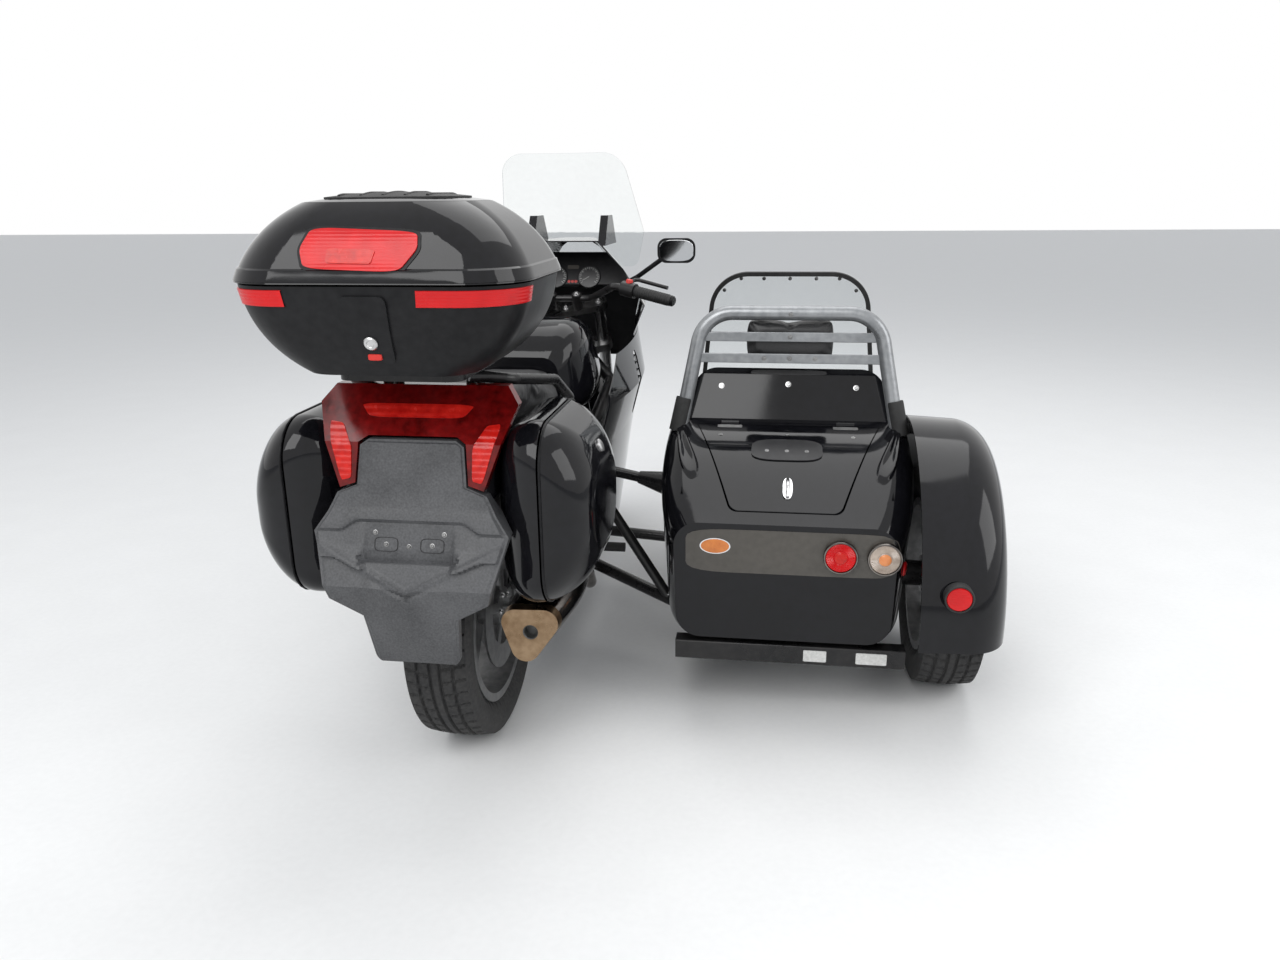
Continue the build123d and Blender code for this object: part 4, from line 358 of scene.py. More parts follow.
def patch(name, node, outline, to_point, way, lift, look, body, gap=0.008, sink=0.0006, crown=0.0,
          profile=None):
    """A thin plate laid on a CAD surface: the outline is thrown along a direction onto the node."""
    way = Vector(way).normalized()
    outline = dense(outline, gap)
    middle = sum(outline, Vector((0, 0))) / len(outline)
    size = max((p - middle).length for p in outline)
    rings = max(2, round(size / gap))
    mesh = bmesh.new()

    def land(flat, share, height):
        hit, normal = on_node(node, to_point(flat), way)
        swell = profile(share) if profile else crown * (1 - share * share)
        return hit + normal * (height + swell)

    rows = []
    for ring in range(1, rings + 1):
        share = ring / rings
        rows.append([mesh.verts.new(land(middle.lerp(p, share), share, lift)) for p in outline])
    rows.append([mesh.verts.new(land(p, 1, -sink)) for p in outline])
    centre = mesh.verts.new(land(middle, 0, lift))
    for first, second in zip(rows[0], rows[0][1:] + rows[0][:1]):
        mesh.faces.new((centre, first, second))
    skin(mesh, rows)
    return piece(name, mesh, look, body)


def plate(mesh, outline, origin, across, up, wall, bevel=0.0015):
    """A flat plate with eased edges: the outline lies in two directions, the wall goes along their cross."""
    across = Vector(across).normalized()
    up = Vector(up).normalized()
    out = across.cross(up)
    middle = sum((Vector(p) for p in outline), Vector((0, 0))) / len(outline)
    rows = []
    for height, shrink in ((0, 0), (wall - bevel, 0), (wall, bevel)):
        row = []
        for point in outline:
            flat = Vector(point)
            away = flat - middle
            if away.length > 0:
                flat = flat - away.normalized() * shrink
            row.append(mesh.verts.new(origin + across * flat.x + up * flat.y + out * height))
        rows.append(row)
    skin(mesh, rows)
    mesh.faces.new(rows[0][::-1])
    mesh.faces.new(rows[-1])


def upward(normal):
    """The direction up a face, square to its normal and to the crossways direction."""
    way = normal.cross(RIGHT).normalized()
    return -way if way.z < 0 else way


def bar(mesh, points, radius, sides=10):
    """A round bar along a line of points, with closed ends."""
    points = [Vector(p) for p in points]
    rows = []
    _, first, _ = frame_of(points[1] - points[0])
    for index, point in enumerate(points):
        ahead = points[min(index + 1, len(points) - 1)] - points[max(index - 1, 0)]
        ahead.normalize()
        first = (first - ahead * first.dot(ahead)).normalized()
        second = ahead.cross(first)
        row = []
        for step in range(sides):
            turn = 2 * math.pi * step / sides
            row.append(mesh.verts.new(point + (first * math.cos(turn) + second * math.sin(turn)) * radius))
        rows.append(row)
    skin(mesh, rows)
    mesh.faces.new(rows[0][::-1])
    mesh.faces.new(rows[-1])


# CAD nodes: smooth where they are round
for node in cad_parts.values():
    for face in node.data.polygons:
        face.use_smooth = True
    node.data.set_sharp_from_angle(angle=math.radians(28))


# Tyres with cut treads, in place of the plain CAD rings
def arc_points(start, middle, end, count):
    """Points along the circle through three points of a section."""
    (ax, ay), (bx, by), (cx, cy) = start, middle, end
    d = 2 * (ax * (by - cy) + bx * (cy - ay) + cx * (ay - by))
    ux = ((ax**2 + ay**2) * (by - cy) + (bx**2 + by**2) * (cy - ay) + (cx**2 + cy**2) * (ay - by)) / d
    uy = ((ax**2 + ay**2) * (cx - bx) + (bx**2 + by**2) * (ax - cx) + (cx**2 + cy**2) * (bx - ax)) / d
    radius = math.hypot(ax - ux, ay - uy)
    a0, a1, a2 = (math.atan2(y - uy, x - ux) for x, y in (start, middle, end))
    while a1 < a0:
        a1 += 2 * math.pi
    while a2 < a0:
        a2 += 2 * math.pi
    if a1 > a2:
        a2 -= 2 * math.pi
    turns = [a0 + (a2 - a0) * k / count for k in range(count + 1)]
    return [(ux + radius * math.cos(turn), uy + radius * math.sin(turn)) for turn in turns]


PITCH_STEPS = 8
GROOVE_HALF = 0.0032
GROOVE_DEPTH = 0.006
CUT_SHARE = 0.2
CUT_DEPTH = 0.0045


def tyre(name, node, body, centre, radius, width, rim, bead, tread, drop, pitches, grooves, slant, reach):
    """A tyre with round grooves and slanting cuts, and fine rings on its walls."""
    bead_top = rim + 0.016
    shoulder = radius - drop
    widest = (bead_top + shoulder) / 2
    half = [(bead - 0.002, rim), (bead, rim + 0.004)]
    half += arc_points((bead, bead_top), (width / 2, widest), (tread, shoulder), 12)
    crown = arc_points((tread, shoulder), (0, radius), (-tread, shoulder), 44)
    section = half[:-1] + crown + [(-x, r) for x, r in half[:-1][::-1]]
    steps = pitches * PITCH_STEPS
    mesh = bmesh.new()
    rows = []
    for step in range(steps):
        turn = 2 * math.pi * step / steps
        row = []
        for x, r in section:
            depth = 0.0
            if abs(x) <= tread + 0.001:
                if any(abs(abs(x) - groove) < GROOVE_HALF for groove in grooves):
                    depth = GROOVE_DEPTH
                elif 0.1 * tread < abs(x) < reach * tread:
                    phase = (step / PITCH_STEPS + slant * abs(x) / tread + (0.5 if x > 0 else 0)) % 1.0
                    if phase < CUT_SHARE:
                        depth = CUT_DEPTH
            elif r > widest + 0.01 and abs(x) > bead:
                depth = 0.0006 * (math.sin(r * 900) > 0)
            r = r - depth
            row.append(mesh.verts.new(centre + Vector((x, r * math.cos(turn), r * math.sin(turn)))))
        rows.append(row)
    skin(mesh, rows + rows[:1])
    made = piece(name, mesh, TYRE, body, 30)
    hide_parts(node)


# Radius, width, rim radius, half widths at bead and tread, drop at the shoulders, cuts, grooves, slant, reach
tyre("front_tyre_tread", "front_tyre", "front_wheel", FRONT_AXLE, 0.2998, 0.120, 0.216, 0.044, 0.048, 0.030,
     44, (0.0, 0.024), 0.6, 0.95)
tyre("rear_tyre_tread", "rear_tyre", "rear_wheel", REAR_AXLE, 0.3098, 0.155, 0.216, 0.058, 0.070, 0.006,
     54, (0.012, 0.040), 0.5, 0.99)
tyre("sidecar_tyre_tread", "sidecar_tyre", "sidecar_wheel", SIDECAR_AXLE, 0.2898, 0.155, 0.190, 0.058, 0.070,
     0.006, 54, (0.012, 0.040), 0.5, 0.99)

# Wheel details: hub caps, and bolts round the hubs
mesh = bmesh.new()
for side in (-1, 1):
    turned(mesh, [(0, 0), (0.030, 0), (0.030, 0.002), (0.022, 0.008), (0.012, 0.010), (0, 0.010)],
           FRONT_AXLE + RIGHT * side * 0.064, RIGHT * side, 28)
piece("front_hub_caps", mesh, METAL, "front_wheel")


def wheel_bolts(name, axle, face_x, ring, radius, height, cap, cap_x, body):
    """Five bolts in a ring on the right face of a hub, with a cap in the middle."""
    mesh = bmesh.new()
    for step in range(5):
        turn = 2 * math.pi * (step + 0.5) / 5
        place = axle + Vector((face_x, ring * math.cos(turn), ring * math.sin(turn)))
        screw(mesh, place, RIGHT, radius, height)
    turned(mesh, cap, axle + RIGHT * cap_x, RIGHT, 24)
    piece(name, mesh, METAL, body)


wheel_bolts("rear_wheel_bolts", REAR_AXLE, 0.070, 0.034, 0.006, 0.005,
            [(0, 0), (0.020, 0), (0.020, 0.004), (0.014, 0.007), (0, 0.007)], 0.0, "rear_wheel")
wheel_bolts("sidecar_wheel_bolts", SIDECAR_AXLE, 0.052, 0.032, 0.007, 0.007,
            [(0.0, 0), (0.020, 0), (0.020, 0.010), (0.014, 0.018), (0, 0.019)], 0.0525, "sidecar_wheel")

# Top box: reflectors, rim, latch plate, lock, button, and the lid's crown with its pad
BOX_CENTRE_Y = -0.294


def bike_flat(p):
    return bike(p.x, -0.46, p.y)


def car_flat(p):
    return car(p.x, 0.06, p.y)


bezel = [(-0.098, 1.230), (0.105, 1.222), (0.109, 1.188), (0.075, 1.147), (-0.106, 1.153), (-0.117, 1.190)]
glass = [(-0.093, 1.225), (0.100, 1.217), (0.103, 1.190), (0.071, 1.152), (-0.101, 1.158), (-0.111, 1.190)]
patch("lid_reflector_bezel", "top_box_lid", rounded(bezel, 0.24), bike_flat, BEHIND, 0.0015, SATIN,
      "top_box_cover")
patch("lid_reflector", "top_box_lid", rounded(glass, 0.24), bike_flat, BEHIND, 0.004, RED, "top_box_cover",
      sink=0.0, crown=0.002)
inner_glass = [(-0.058, 1.190), (0.030, 1.187), (0.022, 1.164), (-0.060, 1.166)]
patch("lid_reflector_field", "top_box_lid", rounded(inner_glass, 0.14), bike_flat, BEHIND, 0.0072, BRIGHT,
      "top_box_cover", sink=-0.004)


def box_band(name, node, body, turn_from, turn_to, rows_at, look):
    """A strip round the top box, thrown inwards: rows of height and how far each one stands off the node."""
    tree = tree_of(node)
    centre = bike(0, BOX_CENTRE_Y, 0)
    mesh = bmesh.new()
    rows = []
    steps = max(40, abs(turn_to - turn_from) // 2)
    for height, out in rows_at:
        row = []
        for step in range(steps + 1):
            turn = math.radians(turn_from + (turn_to - turn_from) * step / steps)
            way = Vector((math.sin(turn), -math.cos(turn), 0))
            base = Vector((centre.x, centre.y, height))
            hit, _, _, _ = tree.ray_cast(base + way * 1.0, -way)
            if hit is None:
                hit, _, _, _ = tree.find_nearest(base + way * 0.3)
            row.append(mesh.verts.new(hit + way * out))
        rows.append(row)
    skin(mesh, rows, closed=False)
    return piece(name, mesh, look, body)


BAND_ROWS = [(1.092, -0.001), (1.093, 0.003), (1.121, 0.003), (1.122, -0.001)]
RIM_ROWS = [(1.1335, -0.001), (1.135, 0.0015), (1.140, 0.0020), (1.148, 0.0022), (1.155, 0.0030),
            (1.159, -0.001)]
box_band("box_reflector_right", "top_box_base", "chassis", 25, 72, BAND_ROWS, RED)
box_band("box_reflector_left", "top_box_base", "chassis", -35, -72, BAND_ROWS, RED)
box_band("lid_rim", "top_box_lid", "top_box_cover", -180, 180, RIM_ROWS, GLOSS)

latch_plate = rounded([(-0.044, 1.112), (0.044, 1.112), (0.040, 0.990), (-0.040, 0.990)], 0.16)
patch("box_latch_plate", "top_box_base", latch_plate, bike_flat, BEHIND, 0.005, SATIN, "chassis")
hit, normal = on_node("top_box_base", bike(0.003, -0.46, 1.030), BEHIND)
lock = [(0, 0.002), (0.013, 0.002), (0.013, 0.008), (0.011, 0.010), (0.007, 0.010), (0.006, 0.0085),
        (0, 0.0085)]
turned_piece("box_lock", lock, hit, normal, 28, METAL, "chassis")
hit, normal = on_node("top_box_base", bike(0.004, -0.46, 1.003), BEHIND)
mesh = bmesh.new()
plate(mesh, rounded_box(0.013, 0.006, 0.25), hit + normal * 0.003, RIGHT, (0, 0, 1), 0.006)
piece("box_release_button", mesh, SIGNAL, "chassis")


def box_top(p):
    return bike(p.x, BOX_CENTRE_Y + p.y, 1.30)


LID_TOP = 1.268
CROWN_RISE = 0.014
PAD_HALF_X = 0.126
PAD_HALF_Y = 0.096
PAD_LIFT = 0.0085
PAD_RISE = 0.0085
RIB_X = (-0.084, -0.042, 0.0, 0.042, 0.084)
RIB_HALF = 0.078
patch("lid_crown", "top_box_lid", rounded_box(0.162, 0.128, 0.36, steps=8), box_top, DOWN, 0.0004, GLOSS,
      "top_box_cover", crown=CROWN_RISE)
patch("lid_pad", "top_box_lid", rounded_box(PAD_HALF_X, PAD_HALF_Y, 0.3), box_top, DOWN, PAD_LIFT, RUBBER,
      "top_box_cover", crown=PAD_RISE)
mesh = bmesh.new()
for x in RIB_X:
    points = []
    for step in range(17):
        y = RIB_HALF * (step / 8 - 1)
        share = max(abs(x) / PAD_HALF_X, abs(y) / PAD_HALF_Y)
        points.append(bike(x, BOX_CENTRE_Y + y, LID_TOP + PAD_LIFT + PAD_RISE * (1 - share**2) - 0.0015))
    bar(mesh, points, 0.0035, 8)
piece("lid_pad_ribs", mesh, RUBBER, "top_box_cover")

# Tail lamp: brighter lobes and ribs
for side in (-1, 1):
    lobe = [(side * 0.126, 0.800), (side * 0.150, 0.838), (side * 0.180, 0.842), (side * 0.147, 0.730),
            (side * 0.126, 0.735)]
    patch(f"tail_lobe_{'left' if side < 0 else 'right'}", "tail_lamp", rounded(lobe, 0.18), bike_flat, BEHIND,
          0.002, BRIGHT, "chassis")
centre_lens = [(-0.120, 0.874), (0.120, 0.874), (0.098, 0.850), (-0.098, 0.850)]
patch("tail_centre_lens", "tail_lamp", rounded(centre_lens, 0.2), bike_flat, BEHIND, 0.0015, BRIGHT,
      "chassis", gap=0.006)

# Rear mudguard: a moulded skin with a ledge, two wings and a folded beak, and the bare plate place
# Columns: height, half width
GUARD_HALVES = [(0.350, 0.084), (0.462, 0.096), (0.500, 0.162), (0.630, 0.199), (0.668, 0.172),
                (0.706, 0.152), (0.722, 0.110), (0.800, 0.104), (0.808, 0.092)]
GUARD_Y = -0.40
GUARD_COLUMNS = 80
GUARD_ROWS = 115
GUARD_PITCH = 0.004


def ramp(value, low, high):
    """Nought below one value, one above the other, with a soft change between them."""
    share = min(1.0, max(0.0, (value - low) / (high - low)))
    return share * share * (3 - 2 * share)


def guard_half(z):
    for (low, narrow), (high, wide) in zip(GUARD_HALVES, GUARD_HALVES[1:]):
        if z <= high:
            return narrow + (wide - narrow) * (z - low) / (high - low)
    return GUARD_HALVES[-1][1]


def guard_relief(x, z):
    """How far the skin stands off the plain panel."""
    off = abs(x)
    ledge = 0.655 - 0.020 * ramp(off, 0.105, 0.150)
    fold = 0.528 + 0.042 * off / 0.090
    beak = fold - 0.021
    panel = ramp(z, ledge - 0.005, ledge + 0.003) * (0.0025 + 0.0045 * (1 - ramp(z, ledge, ledge + 0.055)))
    wing_foot = 0.566 + 0.020 * ramp(off, 0.095, 0.165)
    wing = ramp(off, 0.088, 0.094) * 0.009 * min(1.0, max(0.0, (ledge - z) / (ledge - wing_foot)))
    wing *= ramp(z, wing_foot - 0.005, wing_foot) * (1 - ramp(z, ledge - 0.004, ledge))
    below = 1 - ramp(z, fold - 0.005, fold)
    ridge = max(0.0, 1 - off / 0.090)
    nose = below * (0.0045 + 0.0045 * ridge) * ramp(z, beak - 0.004, fold)
    keel = (1 - ramp(z, beak - 0.004, beak + 0.004)) * 0.012 * ridge * ramp(z, 0.350, 0.430)
    return 0.0012 + panel + wing + nose + keel


mesh = bmesh.new()
rows = []
for step in range(GUARD_ROWS + 1):
    z = min(GUARD_HALVES[0][0] + GUARD_PITCH * step, GUARD_HALVES[-1][0])
    row = []
    for column in range(GUARD_COLUMNS + 1):
        edge = column in (0, GUARD_COLUMNS) or step in (0, GUARD_ROWS)
        x = guard_half(z) * (2 * column / GUARD_COLUMNS - 1)
        hit, normal = on_node("rear_mudguard", bike(x, GUARD_Y, z), BEHIND)
        row.append(mesh.verts.new(hit - Vector((0, -0.0008 if edge else guard_relief(x, z), 0))))
    rows.append(row)
skin(mesh, rows, closed=False)
piece("mudguard_skin", mesh, WORN, "chassis", 28)

places = []
for x, z in ((-0.072, 0.631), (0.072, 0.631), (-0.048, 0.609), (0.0, 0.606), (0.048, 0.609)):
    hit, normal = on_node("rear_mudguard", bike(x, GUARD_Y, z), BEHIND)
    places.append((hit + normal * 0.0012, normal))
screws("plate_screws", places, 0.0035, 0.003, STEEL, "chassis")
mesh = bmesh.new()
for x in (-0.048, 0.048):
    outline = rounded_box(0.024, 0.013, 0.3, at=(x, 0.609))
    points = []
    for flat in outline + outline[:1]:
        hit, normal = on_node("rear_mudguard", bike(flat.x, GUARD_Y, flat.y), BEHIND)
        points.append(hit + normal * 0.0014)
    bar(mesh, points, 0.0009, 6)
piece("plate_pads", mesh, DIAL, "chassis")

# Instruments: two dials with marks and needles, a window and warning lamps between them
DIAL_RADIUS = 0.038
DIAL_MARKS = 21
DIAL_FROM = -40
DIAL_STEP = 13
for name, x in (("left", -0.058), ("right", 0.058)):
    hit, normal = on_node("instrument_panel", bike(x, 1.1, 1.000), BEHIND)
    up_way = upward(normal)
    turned_piece(f"dial_{name}", [(0, 0.001), (DIAL_RADIUS, 0.001), (DIAL_RADIUS, 0.0022), (0, 0.0022)], hit,
                 normal, 40, DIAL, "chassis")
    ring = [(DIAL_RADIUS, 0.0), (DIAL_RADIUS, 0.003), (DIAL_RADIUS * 1.04, 0.004), (DIAL_RADIUS * 1.08, 0.0)]
    turned_piece(f"dial_ring_{name}", ring, hit, normal, 40, SATIN, "chassis")
    mesh = bmesh.new()
    face = hit + normal * 0.0028
    for step in range(DIAL_MARKS):
        turn = math.radians(DIAL_FROM + DIAL_STEP * step)
        way = (RIGHT * math.cos(turn) + up_way * math.sin(turn)) * DIAL_RADIUS
        bar(mesh, [face + way * (0.78 if step % 2 else 0.68), face + way * 0.92], 0.0008, 5)
    bar(mesh, [face, face - RIGHT * DIAL_RADIUS * 0.6 - up_way * DIAL_RADIUS * 0.35], 0.0010, 6)
    piece(f"dial_marks_{name}", mesh, MARK, "chassis")
mesh = bmesh.new()
hit, normal = on_node("instrument_panel", bike(0, 1.1, 1.032), BEHIND)
plate(mesh, rounded_box(0.020, 0.007, 0.2), hit, RIGHT, normal.cross(RIGHT), 0.0022, 0.0006)
piece("panel_window", mesh, OLIVE, "chassis")
places = []
for x in (-0.012, 0.0, 0.012):
    places.append(on_node("instrument_panel", bike(x, 1.1, 0.985), BEHIND))
screws("warning_lamps", places, 0.0035, 0.002, SIGNAL, "chassis")

# Handlebar: clamp bolts, ribs on the grips, bar ends and switches
FORK_OFFSET = 0.040
steer_up = Vector((0, -math.sin(RAKE), math.cos(RAKE)))
steer_ahead = Vector((0, math.cos(RAKE), math.sin(RAKE)))
steer_foot = FRONT_AXLE - steer_ahead * FORK_OFFSET


def steer(x, y, z):
    """A point given along the steering axis: x to the right, y ahead of the axis, z up along it."""
    return steer_foot + RIGHT * x + steer_ahead * y + steer_up * z


places = []
for side in (-1, 1):
    places.append((steer(side * 0.042, 0, 0.7645), steer_up))
    places.append((steer(side * 0.105, FORK_OFFSET, 0.7125), steer_up))
places.append((steer(0, 0, 0.7125), steer_up))
screws("handlebar_bolts", places, 0.008, 0.007, METAL, "steering")
GRIP_RIBS = 15
GRIP_RIB_PITCH = 0.0078
for side, side_name in ((-1, "left"), (1, "right")):
    end = steer(side * 0.388, -0.225, 0.893)
    knee = steer(side * 0.205, -0.146, 0.893)
    way = (knee - end).normalized()
    profile = [(0.0164, 0.004)]
    for rib in range(GRIP_RIBS):
        at = 0.006 + rib * GRIP_RIB_PITCH
        profile += [(0.0166, at), (0.0179, at + 0.0014), (0.0179, at + 0.0040), (0.0166, at + 0.0054)]
    profile.append((0.0164, 0.123))
    turned_piece(f"grip_ribs_{side_name}", profile, end, way, 24, RUBBER, "steering")
    cap = [(0, -0.012), (0.012, -0.012), (0.016, -0.008), (0.016, -0.004), (0, -0.004)]
    turned_piece(f"bar_end_{side_name}", cap, end, way, 24, SATIN, "steering")
    up = (Vector((0, 0, 1)) - way * way.z).normalized()
    button = [(0, 0.014), (0.011, 0.014), (0.011, 0.028), (0.009, 0.031), (0, 0.031)]
    turned_piece(f"switch_{side_name}", button, end + way * 0.150, up, 18, SIGNAL if side > 0 else SATIN,
                 "steering")

# Mirrors: glass in the rear faces
for side, side_name in ((-1, "left"), (1, "right")):
    mesh = bmesh.new()
    outline = oval(0, 0, 0.056, 0.034, 40, 3.2)
    plate(mesh, outline, bike(side * 0.372, 1.1298, 1.094), RIGHT, (0, 0, 1), 0.0015, 0.0008)
    piece(f"mirror_glass_{side_name}", mesh, MIRROR, "chassis")

# Dark inner panel of the fairing, ahead of the fork's sweep
INNER_PANEL_GAP = 0.002
INNER_PANEL_HALF = 0.120
INNER_PANEL_STEPS = 12


def inner_reach(y, z, side):
    """How far out from the bike's centre plane the fairing leaves room at a place."""
    walls = []
    for node in ("upper_cowl", "fairing_left", "fairing_right"):
        hit, _, _, _ = tree_of(node).ray_cast(bike(0, y, z), RIGHT * side)
        if hit:
            walls.append(abs(hit.x - BIKE_X) - INNER_PANEL_GAP)
    return min(walls, default=INNER_PANEL_HALF)


mesh = bmesh.new()
rows = []
for step in range(INNER_PANEL_STEPS + 1):
    z = 0.700 + 0.022 * step
    y = 1.352 + (0.850 - z) * math.tan(RAKE)
    left = inner_reach(y, z, -1)
    right = inner_reach(y, z, 1)
    shares = [column / INNER_PANEL_STEPS for column in range(INNER_PANEL_STEPS + 1)]
    rows.append([mesh.verts.new(bike(-left + (left + right) * share, y, z)) for share in shares])
skin(mesh, rows, closed=False)
piece("fairing_inner_panel", mesh, SATIN, "chassis")

# Screen screws
places = []
for side in (-1, 1):
    for z in (1.135, 1.190):
        places.append(on_node("windscreen", bike(side * 0.122, 1.2, z), BEHIND))
screws("screen_screws", places, 0.006, 0.004, METAL, "chassis")

# Panniers: beading round the lids' seams, and locks
BEAD_STEPS = 64
for side, side_name in ((-1, "left"), (1, "right")):
    mesh = bmesh.new()
    tree = tree_of(f"pannier_{side_name}_lid")
    centre = bike(side * 0.267, -0.174, 0.654)
    points = []
    for step in range(BEAD_STEPS):
        turn = 2 * math.pi * step / BEAD_STEPS
        way = Vector((0, math.cos(turn), math.sin(turn)))
        hit, _, _, _ = tree.ray_cast(centre + way * 0.6, -way)
        if hit:
            points.append(hit + way * 0.0008)
    points.append(points[0])
    bar(mesh, points, 0.0024, 8)
    piece(f"pannier_beading_{side_name}", mesh, SATIN, f"pannier_{side_name}_cover")
    hit, normal = on_node(f"pannier_{side_name}_lid", bike(side * 0.36, -0.174, 0.770), (-side, 0, 0))
    lock = [(0, 0.0), (0.014, 0.0), (0.014, 0.003), (0.011, 0.005), (0, 0.005)]
    turned_piece(f"pannier_lock_{side_name}", lock, hit, normal, 28, METAL, f"pannier_{side_name}_cover")

# Silencer: dark mouth and clamp
cap = bike(0.206, -0.262, 0.372)
mesh = bmesh.new()
turned(mesh, [(0.0168, 0.0), (0.0168, 0.024), (0.0150, 0.024), (0.0150, 0.002), (0.0168, 0.0)], cap, BEHIND,
       36)
turned(mesh, [(0, 0.0235), (0.0155, 0.0235), (0.0155, 0.0255), (0, 0.0255)], cap, BEHIND, 36)
piece("silencer_mouth", mesh, ENGINE, "chassis")
clamp = [(0.0215, -0.012), (0.0235, -0.012), (0.0235, 0.012), (0.0215, 0.012), (0.0215, -0.012)]
turned_piece("silencer_clamp", clamp, bike(0.2105, 0.158, 0.364), (-0.04, 0.98, -0.2), 32, METAL, "chassis")

# Sidecar tail: olive band, blank badge, lamps with dark chrome rings, and the reflector on the mudguard
band = [(-0.236, 0.396), (0.225, 0.396), (0.262, 0.410), (0.276, 0.450), (0.262, 0.492), (0.225, 0.506),
        (-0.236, 0.506)]
patch("tail_band", "sidecar_tail", rounded(band, 0.22), car_flat, BEHIND, 0.0011, OLIVE, "chassis",
      gap=0.012)
patch("tail_badge_rim", "sidecar_tail", oval(-0.165, 0.463, 0.037, 0.020), car_flat, BEHIND, 0.002, CHROME,
      "chassis", gap=0.004)
patch("tail_badge", "sidecar_tail", oval(-0.165, 0.463, 0.034, 0.0175), car_flat, BEHIND, 0.003, ORANGE,
      "chassis", gap=0.004, sink=-0.001, crown=0.0015)
LAMP_RING = [(0.0385, -0.010), (0.0405, -0.006), (0.0410, 0.002), (0.0395, 0.005), (0.0365, 0.0055),
             (0.0360, 0.003), (0.0360, -0.010)]
LAMP_CORE = [(0.0148, 0.0052), (0.0140, 0.0070), (0.0100, 0.0092), (0.0050, 0.0102), (0, 0.0105)]
# Columns: radius, height, depth of the flutes
LENS_ROWS = [(0.0362, 0.0010, 0.0), (0.0350, 0.0034, 0.0), (0.0335, 0.0040, 0.0011), (0.0180, 0.0052, 0.0011),
             (0.0165, 0.0046, 0.0), (0.0150, 0.0056, 0.0)]
LENS_STEPS = 96
TO_REAR = (0, -1, 0)
for name, x, look, core in (("red", 0.132, RED, BRIGHT), ("amber", 0.234, AMBER, BULB)):
    face = car(x, 0.0600, 0.450)
    turned_piece(f"lamp_ring_{name}", LAMP_RING, face, TO_REAR, 48, SMOKE, "chassis")
    mesh = bmesh.new()
    rings = []
    for radius, height, flute in LENS_ROWS:
        ring = []
        for step in range(LENS_STEPS):
            turn = 2 * math.pi * step / LENS_STEPS
            out = Vector((radius * math.cos(turn), -height - flute * (step % 2), radius * math.sin(turn)))
            ring.append(mesh.verts.new(face + out))
        rings.append(ring)
    skin(mesh, rings)
    mesh.faces.new(rings[-1])
    piece(f"lamp_lens_{name}", mesh, look, "chassis", smooth=20)
    turned_piece(f"lamp_core_{name}", LAMP_CORE, face, TO_REAR, 32, core, "chassis")
reflector_face = car(0.390, -0.038, 0.400)
ring = [(0.0292, -0.022), (0.0330, -0.022), (0.0335, 0.0010), (0.0320, 0.0035), (0.0290, 0.0035),
        (0.0285, 0.0)]
turned_piece("guard_reflector_ring", ring, reflector_face, TO_REAR, 48, RUBBER, "chassis")
dome = [(0.0286, 0.0002), (0.0265, 0.0030), (0.0190, 0.0042), (0.0095, 0.0048), (0, 0.005)]
turned_piece("guard_reflector", dome, reflector_face, TO_REAR, 48, RED, "chassis")

# Boot lid: latch with its handle, grip strip and screws
mesh = bmesh.new()
hit, normal = on_node("boot_lid", car(0.004, 0.06, 0.582), BEHIND)
up_way = upward(normal)
plate(mesh, oval(0, 0, 0.013, 0.034, 36, 2.6), hit - normal * 0.0005, RIGHT, up_way, 0.004, 0.0015)
points = []
for step in range(11):
    bow = 0.004 + 0.010 * math.sin(math.pi * step / 10)
    points.append(hit + up_way * (0.026 - 0.0052 * step) + normal * bow)
bar(mesh, points, 0.0052, 12)
piece("boot_latch", mesh, CHROME, "boot_cover")
patch("boot_grip_strip", "boot_lid", rounded_box(0.089, 0.017, 0.35, at=(0, 0.647)), car_flat, BEHIND, 0.0035,
      DIAL, "boot_cover", gap=0.005, crown=0.001)
places = []
for x, z in ((-0.171, 0.671), (0.0, 0.673), (0.168, 0.671), (-0.050, 0.645), (0.0, 0.645), (0.050, 0.645)):
    hit, normal = on_node("boot_lid", car(x, 0.06, z), BEHIND)
    places.append((hit + normal * (0.0042 if z < 0.66 else 0), normal))
screws("boot_lid_screws", places, 0.0035, 0.0025, STEEL, "boot_cover")


# Hinge leaves of the boot lid, and hollow scoops on the tail's shoulders
def car_top(p):
    return car(p.x, p.y, 0.70)


def scoop_relief(share):
    """A raised lip round a hollow, from the middle at nought to the edge at one."""
    return 0.0045 * ramp(1 - share, 0, 0.25) - 0.0042 * ramp(0.75 - share, 0, 0.75)


SCOOP = [(0.305, 0.706), (0.288, 0.703), (0.224, 0.630), (0.213, 0.602), (0.236, 0.592), (0.264, 0.612)]
for side, side_name in ((-1, "left"), (1, "right")):
    leaf = rounded_box(0.032, 0.007, 0.2, at=(side * 0.150, 0.385))
    patch(f"boot_hinge_leaf_{side_name}", "boot_lid", leaf, car_top, DOWN, 0.0014, STEEL, "boot_cover",
          gap=0.004)
    scoop = rounded([(side * x, z) for x, z in SCOOP], 0.35)
    patch(f"tail_scoop_{side_name}", "sidecar_tail", scoop, car_flat, BEHIND, 0.0006, GLOSS, "chassis",
          gap=0.004, profile=scoop_relief)

# Side marker, and label plates on the chassis beam
hit, normal = on_node("sidecar_tail", car(0.300, 0.12, 0.400), (-0.6, 0.8, 0))
marker = [(0, 0.0), (0.018, 0.0), (0.017, 0.004), (0.012, 0.006), (0, 0.0065)]
turned_piece("side_marker", marker, hit, normal, 32, RED, "chassis")
mesh = bmesh.new()
for x, half in ((0.083, 0.028), (0.219, 0.037)):
    plate(mesh, rounded_box(half, 0.015, 0.08), car(x, 0.0812, 0.180), RIGHT, (0, 0, 1), 0.0012, 0.0004)
piece("label_plates", mesh, LABEL, "chassis")

